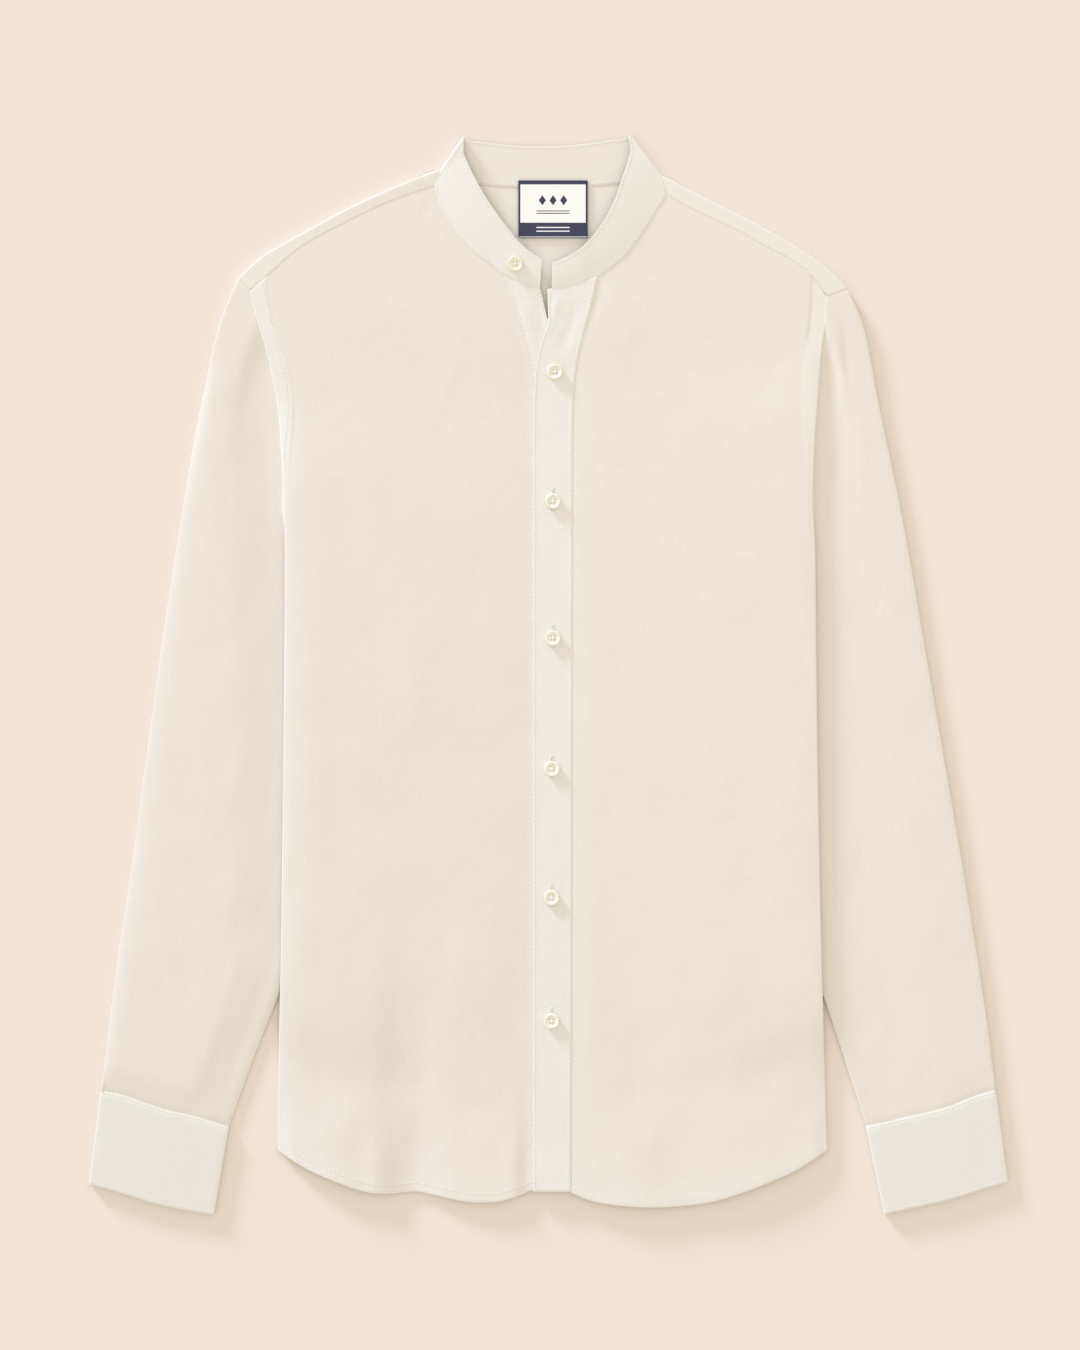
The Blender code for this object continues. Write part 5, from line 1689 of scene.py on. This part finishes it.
@dataclass
class Cuff:
    """A closed cuff, flattened, from the sleeve's seam to its open edge."""

    side: Side
    depth: float = 2.7
    crown: float = 0.5
    columns: int = 6
    row_steps: int = 14
    column_steps: int = 8
    turn_steps: int = 3
    rows: tuple[float, ...] = (-0.014, 0.33, 0.66, 1.0)
    seam_fall: float = 0.55
    seam_fall_reach: float = 4.0
    stitch_inset: float = 1.6
    top_point: tuple[int, int] = (20, 20)  # row and column of a point on the upper layer

    def sheet(self) -> ClothSheet:
        """The fine cuff, doubled all over."""
        seam = spread([row[:2] for row in CUFF_TABLE[self.side]], self.columns)
        edge = spread([row[2:] for row in CUFF_TABLE[self.side]], self.columns)
        plan = np.array([mix(seam, edge, share) for share in self.rows])
        arch = np.sin(pi * np.arange(self.columns + 1) / self.columns)
        floors = np.full(plan.shape[:2], LAY.band_cloth / 2)
        tops = floors + self.depth + self.crown * arch
        across = tube_steps(self.columns, self.column_steps, self.turn_steps, self.column_steps)
        points = refine(tube_grid(plan, tops, floors), self.row_steps, across, closed=True)
        from_seam = norm(points - points[:1], axis=2)
        upper = ramp(points[..., 2], (LAY.band_cloth, self.depth))
        points[..., 2] -= self.seam_fall * upper * ease(1.0 - from_seam / self.seam_fall_reach)
        return ClothSheet("cuff_" + self.side.value + "_linen", "cuff_" + self.side.value, points,
                          LAY.band_cloth, unrolled(points), np.ones(points.shape[:2]), closed=True)

    def stitch_paths(self, sheet: ClothSheet) -> list[Array]:
        """Rows of stitches beside the seam and the open edge."""
        face = 1.0 if sheet.normals[self.top_point][2] > 0 else -1.0
        return [sheet.edge_path(Edge.FIRST_ROW, self.stitch_inset, face),
                sheet.edge_path(Edge.LAST_ROW, self.stitch_inset, face)]


@dataclass
class NeckLabel:
    """The woven label inside the back neck."""

    size: Pair = (52.0, 43.0)
    cloth: float = 1.0
    columns: int = 52
    rows: int = 44
    edge_fall: float = 0.08
    edge_width: float = 1.5
    stitch_inset: float = 0.7

    def sheet(self) -> ClothSheet:
        """A flat piece with its edges a little down."""
        width, height = self.size
        u, v = np.meshgrid(np.linspace(-0.5, 0.5, self.columns + 1),
                           np.linspace(-0.5, 0.5, self.rows + 1))
        low = LAY.band_cloth + LAY.seam + self.cloth / 2
        from_edge = np.minimum(0.5 - np.abs(u), 0.5 - np.abs(v)) * width
        fall = self.edge_fall * np.exp(-(from_edge / self.edge_width) ** 2)
        points = np.dstack([LABEL_CENTRE[0] + width * u, LABEL_CENTRE[1] + height * v, low - fall])
        weave = np.dstack([width * u, height * v])
        return ClothSheet("neck_label_satin", "neck_label", points, self.cloth, weave,
                          np.zeros_like(u), rests_on=("yoke", "collar_band"))


# ---- buttons and sewing
@dataclass
class Buttons:
    """Seven ivory buttons with four holes, modelled once and copied."""

    diameter: float = 11.5
    height: float = 2.4
    rim: float = 1.35
    slope: float = 0.55
    dish: float = 0.62
    floor_inset: float = 0.8
    floor_sink: float = 0.12
    foot_inset: float = 1.5
    round_rim: float = 0.42
    rim_segments: int = 4
    rim_angle: float = 50.0
    sides: int = 64
    hole_sides: int = 20
    drill_length: float = 10.0
    hole: float = 1.0
    hole_pitch: float = 2.5

    @property
    def floor(self) -> float:
        """Height of the dish's floor, where the thread lies."""
        return self.height - self.dish - self.floor_sink

    def model(self) -> Piece:
        """One button, standing on the origin."""
        bpy.ops.object.select_all(action="DESELECT")
        bpy.ops.mesh.primitive_cylinder_add(vertices=self.sides, radius=self.diameter / 2 * MM,
                                            depth=self.height * MM,
                                            location=(0.0, 0.0, self.height / 2 * MM))
        item = bpy.context.object
        self.shape_top(item)
        for sx in (-0.5, 0.5):
            for sy in (-0.5, 0.5):
                self.drill(item, sx * self.hole_pitch, sy * self.hole_pitch)
        pick_alone(item)
        bpy.ops.object.transform_apply(location=True, rotation=True, scale=True)
        bpy.ops.object.shade_smooth_by_angle(angle=radians(40.0))
        return item

    def shape_top(self, item: Piece) -> None:
        """Sink the dish, inset the underside and round the rim."""
        bpy.ops.object.mode_set(mode="EDIT")
        bpy.ops.mesh.select_mode(type="FACE")
        self.pick(item, 1.0)
        bpy.ops.mesh.inset(thickness=self.rim * MM)
        bpy.ops.mesh.inset(thickness=self.slope * MM)
        bpy.ops.transform.translate(value=(0.0, 0.0, -self.dish * MM))
        bpy.ops.mesh.inset(thickness=self.floor_inset * MM)
        bpy.ops.transform.translate(value=(0.0, 0.0, -self.floor_sink * MM))
        self.pick(item, -1.0)
        bpy.ops.mesh.inset(thickness=self.foot_inset * MM)
        bpy.ops.object.mode_set(mode="OBJECT")
        add_bevel(item, self.round_rim, self.rim_segments, self.rim_angle)
        apply_modifiers(item)

    def pick(self, item: Piece, way: float) -> None:
        """Select the end face that looks along +Z or -Z."""
        bpy.ops.mesh.select_all(action="DESELECT")
        bpy.ops.object.mode_set(mode="OBJECT")
        faces = [face for face in item.data.polygons if face.normal.z * way > 0.99]
        max(faces, key=lambda face: face.area).select = True
        bpy.ops.object.mode_set(mode="EDIT")

    def drill(self, item: Piece, x: float, y: float) -> None:
        """Cut one thread hole."""
        bpy.ops.mesh.primitive_cylinder_add(vertices=self.hole_sides, radius=self.hole / 2 * MM,
                                            depth=self.drill_length * MM, location=(x * MM, y * MM, 0.0))
        cutter = bpy.context.object
        cut = item.modifiers.new("hole", "BOOLEAN")
        cut.object = cutter
        cut.operation = "DIFFERENCE"
        apply_modifiers(item)
        bpy.data.objects.remove(cutter, do_unlink=True)

    def places(self, collar: CollarBand, leaf: ClothSheet) -> list[tuple[str, Matrix]]:
        """Node name and seat of every button."""
        lay = LAY
        spot, normal = collar.seat(BUTTON_COLLAR, leaf)
        seats = [("button_collar", spot, normal)]
        half, lift = self.diameter / 2, lay.band_cloth / 2 + lay.seam
        for number, (x, y) in enumerate(BUTTON_COLUMN, start=1):
            low, middle, high = (lay.band_z(Band.BUTTONHOLE, y + k * half) for k in (-1, 0, 1))
            seats.append(("button_front_%d" % number, np.array((x, y, middle + lift)),
                          np.array((0.0, -(high - low) / self.diameter, 1.0))))
        result = []
        for name, spot, normal in seats:
            turn = Vector((0.0, 0.0, 1.0)).rotation_difference(Vector(normal)).to_matrix().to_4x4()
            result.append((name, Matrix.Translation(Vector(spot) * MM) @ turn))
        return result


@dataclass
class Sewing:
    """Stitches as short twisted threads that dip into the cloth at both ends.

    A ring of a thread is its share of the length, of the radius and of the lift.
    """

    stitch: float = 2.5
    gap: float = 0.8
    radius: float = 0.17
    lift: float = 0.1
    sides: int = 5
    floor: float = 0.45
    rings: tuple[Triple, ...] = ((0.0, 0.5, 0.0), (0.25, 1.0, 0.8), (0.75, 1.0, 0.8), (1.0, 0.5, 0.0))
    steepest: float = 0.1
    cross_spread: float = 0.17
    cross_rise: float = 0.12
    cross_lift: float = 0.16
    cross_radius: float = 0.34
    hole_half: float = 7.5
    hole_above: float = 1.5
    slit: float = 0.22
    lip: float = 1.1
    lip_pitch: float = 0.42
    lip_lift: float = 0.12
    bar_gap: float = 0.4
    bar_half: float = 1.4
    bar_threads: int = 5
    bar_pitch: float = 0.3
    bar_lift: float = 0.16
    hole_radius: float = 0.2

    def thread(self, start: Array, end: Array, lift: float, radius: float, store: Store) -> None:
        """Add one thread to a store of points and faces.

        Args:
            start, end: both ends, in millimetres.
            lift: how far the middle is raised.
            radius: the thread's radius.
            store: points and faces so far.
        """
        points, faces = store
        ahead = end - start
        ahead = ahead / norm(ahead)
        aside = np.cross((0.0, 0.0, 1.0), ahead)
        if norm(aside) < self.steepest:
            aside = np.array((1.0, 0.0, 0.0))
        aside = aside / norm(aside)
        above = np.cross(ahead, aside)
        first = len(points)
        for t, share, high in self.rings:
            centre = mix(start, end, t) + above * lift * high
            for k in range(self.sides):
                angle = 2.0 * pi * k / self.sides
                points.append(centre + radius * share * (aside * cos(angle) + above * sin(angle)))
        for ring in range(len(self.rings) - 1):
            for k in range(self.sides):
                a = first + ring * self.sides + k
                b = first + ring * self.sides + (k + 1) % self.sides
                faces.append((a, b, b + self.sides, a + self.sides))
        last = first + (len(self.rings) - 1) * self.sides
        faces.append(tuple(first + k for k in reversed(range(self.sides))))
        faces.append(tuple(last + k for k in range(self.sides)))

    def run(self, path: Array, store: Store) -> None:
        """Lay stitches along a path, leaving out those that would touch the floor."""
        path = path[~np.isnan(path[:, 0])]
        run = lengths(path)
        pitch = self.stitch + self.gap
        for k in range(int(run[-1] / pitch)):
            ends = [np.array([np.interp(s, run, path[:, c]) for c in range(3)])
                    for s in (k * pitch, k * pitch + self.stitch)]
            if min(ends[0][2], ends[1][2]) > self.floor:
                self.thread(ends[0], ends[1], self.lift, self.radius, store)

    def sew(self, name: str, paths: list[Array], finish: Material, slot: str) -> Piece:
        """Make one piece of sewing from several rows."""
        store: Store = ([], [])
        for path in paths:
            self.run(path, store)
        return self.piece(name, store, finish, slot)

    def piece(self, name: str, store: Store, finish: Material, slot: str) -> Piece:
        """Make an object from a store of threads."""
        item = add_mesh(name, np.array(store[0]), store[1], finish)
        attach(item, "root")
        LOG.info("%s: %d faces", name, len(item.data.polygons))
        return item

    def buttonhole(self, x: float, y: float, z: float, store: Store) -> None:
        """Stitch both lips and both end bars of the upright buttonhole of a button at a place."""
        middle = y + self.hole_above
        for k in range(int(2 * self.hole_half / self.lip_pitch) + 1):
            up = middle + (k * self.lip_pitch - self.hole_half)
            for way in (-1.0, 1.0):
                ends = [np.array((x + way * away, up, z)) for away in (self.slit, self.slit + self.lip)]
                self.thread(*ends, self.lip_lift, self.hole_radius, store)
        for way in (-1.0, 1.0):
            for k in range(self.bar_threads):
                up = middle + way * (self.hole_half + self.bar_gap)
                up += (k - self.bar_threads // 2) * self.bar_pitch
                ends = [np.array((x + away, up, z)) for away in (-self.bar_half, self.bar_half)]
                self.thread(*ends, self.bar_lift, self.hole_radius, store)

    def button_cross(self, seat: Matrix, pitch: float, height: float, store: Store) -> None:
        """Two crossed bundles of thread through a button's holes."""
        half = pitch / 2
        for k, way in enumerate((1.0, -1.0)):
            for shift in (-self.cross_spread, self.cross_spread):
                ends = []
                for end in (-1.0, 1.0):
                    local = Vector((end * half + shift, way * end * half - way * shift,
                                    height + self.cross_rise * k)) * MM
                    ends.append(np.array(seat @ local) / MM)
                self.thread(ends[0], ends[1], self.cross_lift, self.cross_radius, store)


# ---- the studio
@dataclass
class Studio:
    """Pale floor, soft light from the upper left and a camera straight above."""

    lens: float = 85.0
    sensor: float = 36.0
    view_height: float = 1012.5
    centre: Pair = (-6.375, -0.75)
    focus_z: float = 3.5
    floor_size: float = 12000.0
    floor_gap: float = 0.4
    key: Colour = (0.11, 0.135, 0.195)
    fill: Colour = (0.935, 0.91, 0.85)
    key_elevation: float = 9.5
    key_heading: Pair = (-0.6, 0.8)
    key_softness: float = 10.0

    def build(self, paper: PaperFinish) -> None:
        """Add the floor, the lights and the camera."""
        bpy.ops.object.select_all(action="DESELECT")
        bpy.ops.mesh.primitive_plane_add(size=self.floor_size * MM,
                                         location=(0.0, 0.0, -self.floor_gap * MM))
        floor = bpy.context.object
        floor.name = "studio_floor"
        floor.data.materials.append(paper.build("backdrop_paper"))
        world = bpy.data.worlds.new("studio_fill")
        bpy.context.scene.world = world
        world.use_nodes = True
        sky = world.node_tree.nodes["Background"]
        sky.inputs["Color"].default_value = (*self.fill, 1.0)
        sky.inputs["Strength"].default_value = 1.0
        high = radians(self.key_elevation)
        peak = max(self.key)
        sun = bpy.data.lights.new("key", "SUN")
        sun.color = [c / peak for c in self.key]
        sun.energy = peak * pi / sin(high)
        sun.angle = radians(self.key_softness)
        lamp = bpy.data.objects.new("key", sun)
        bpy.context.scene.collection.objects.link(lamp)
        heading = Vector(self.key_heading).normalized() * cos(high)
        lamp.rotation_mode = "QUATERNION"
        lamp.rotation_quaternion = Vector((heading.x, heading.y, sin(high))).to_track_quat("Z", "Y")
        data = bpy.data.cameras.new("camera")
        data.lens = self.lens
        data.sensor_width = self.sensor
        camera = bpy.data.objects.new("camera", data)
        bpy.context.scene.collection.objects.link(camera)
        distance = self.view_height / 2 * self.lens / (self.sensor / 2) + self.focus_z
        camera.location = (self.centre[0] * MM, self.centre[1] * MM, distance * MM)
        bpy.context.scene.camera = camera
        bpy.context.scene.view_settings.view_transform = "Standard"


# ---- the shirt
SINGLE = (232, 223, 210)
DOUBLE = (235, 230, 220)
CUFF = (231, 226, 215)
SLOT_SINGLE, SLOT_DOUBLE = "linen_single", "linen_double"


@dataclass
class Shirt:
    """Every piece of the shirt in the order that it is built."""

    single: LinenFinish = LinenFinish(SINGLE, DOUBLE)
    double: LinenFinish = LinenFinish(SINGLE, DOUBLE, yarn_contrast=0.03, slub_contrast=0.035,
                                      mottle_contrast=0.02)
    cuff: LinenFinish = LinenFinish(SINGLE, CUFF, yarn_contrast=0.03, slub_contrast=0.035,
                                    mottle_contrast=0.02)
    thread: ThreadFinish = ThreadFinish((234, 229, 217))
    navy_thread: ThreadFinish = ThreadFinish((58, 60, 84))
    button_thread: ThreadFinish = ThreadFinish((246, 242, 232))
    resin: ResinFinish = ResinFinish()
    label: LabelFinish = LabelFinish()
    sewing: Sewing = field(default_factory=Sewing)

    def build(self) -> None:
        """Build every piece."""
        thread = self.thread.build("sewing_thread")
        fronts: list[Array] = []
        back = BackPanel().sheet()
        back.build(self.single.build("linen_back", turn=1.0), SLOT_SINGLE)
        yoke = Yoke()
        yoke_sheet = yoke.sheet()
        yoke_sheet.build(self.double.build("linen_yoke", turn=2.0), SLOT_DOUBLE)
        self.sewing.sew("stitching_yoke", yoke.stitch_paths(yoke_sheet), thread, SLOT_DOUBLE)
        for side in Side:
            name, number = side.value, side.number
            front = FrontPanel(side)
            sheet = front.sheet()
            sheet.build(self.single.build("linen_front_" + name, turn=3.0 + number), SLOT_SINGLE)
            fronts += front.stitch_paths(sheet)
            sleeve = Sleeve(side).sheet()
            sleeve.build(self.single.build("linen_sleeve_" + name, turn=5.0 + number), SLOT_SINGLE)
            cuff = Cuff(side)
            sheet = cuff.sheet()
            sheet.build(self.cuff.build("linen_cuff_" + name, turn=7.0 + number), SLOT_DOUBLE)
            self.sewing.sew("stitching_cuff_" + name, cuff.stitch_paths(sheet), thread, SLOT_DOUBLE)
        self.sewing.sew("stitching_fronts", fronts, thread, SLOT_SINGLE)
        bands: list[Array] = []
        for band in Band:
            strip = FrontBand(band)
            sheet = strip.sheet()
            finish = self.double.build("linen_" + band.value + "_band", turn=9.0 + band.side.number)
            sheet.build(finish, SLOT_DOUBLE)
            bands += strip.stitch_paths(sheet)
        self.sewing.sew("stitching_front_bands", bands, thread, SLOT_DOUBLE)
        collar = CollarBand()
        leaf = collar.sheet()
        leaf.build(self.double.build("linen_collar", turn=11.0), SLOT_DOUBLE)
        self.sewing.sew("stitching_collar", collar.stitch_paths(leaf), thread, SLOT_DOUBLE)
        self.build_label()
        self.build_buttons(collar, leaf, thread)

    def build_label(self) -> None:
        """The label and the stitches that hold its ends."""
        label = NeckLabel()
        sheet = label.sheet()
        sheet.build(self.label.build("label_satin", label.size), "label_satin")
        navy = self.navy_thread.build("label_thread")
        paths = sheet.long_edges(label.stitch_inset)
        self.sewing.sew("stitching_label", paths, navy, "label_satin")

    def build_buttons(self, collar: CollarBand, leaf: ClothSheet, thread: Material) -> None:
        """The buttons, the threads that hold them and the buttonholes."""
        buttons = Buttons()
        pattern = buttons.model()
        pattern.data.materials.clear()
        pattern.data.materials.append(self.resin.build("button_resin"))
        crosses: Store = ([], [])
        holes: Store = ([], [])
        for name, seat in buttons.places(collar, leaf):
            item = bpy.data.objects.new(name + "_resin", pattern.data.copy())
            item.data.transform(seat)
            bpy.context.scene.collection.objects.link(item)
            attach(item, "root")
            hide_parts(name)
            self.sewing.button_cross(seat, buttons.hole_pitch, buttons.floor, crosses)
        bpy.data.objects.remove(pattern, do_unlink=True)
        for x, y in BUTTON_COLUMN[1:]:
            z = LAY.band_z(Band.BUTTONHOLE, y) + LAY.band_cloth / 2
            self.sewing.buttonhole(x, y, z, holes)
        white = self.button_thread.build("button_thread")
        self.sewing.piece("button_threads", crosses, white, SLOT_DOUBLE)
        self.sewing.piece("buttonholes", holes, thread, SLOT_DOUBLE)


def main() -> None:
    """Load the frame and build the studio and the shirt."""
    logging.basicConfig(level=logging.INFO, format="%(message)s")
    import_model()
    Studio().build(PaperFinish())
    Shirt().build()


if __name__ == "__main__":
    main()
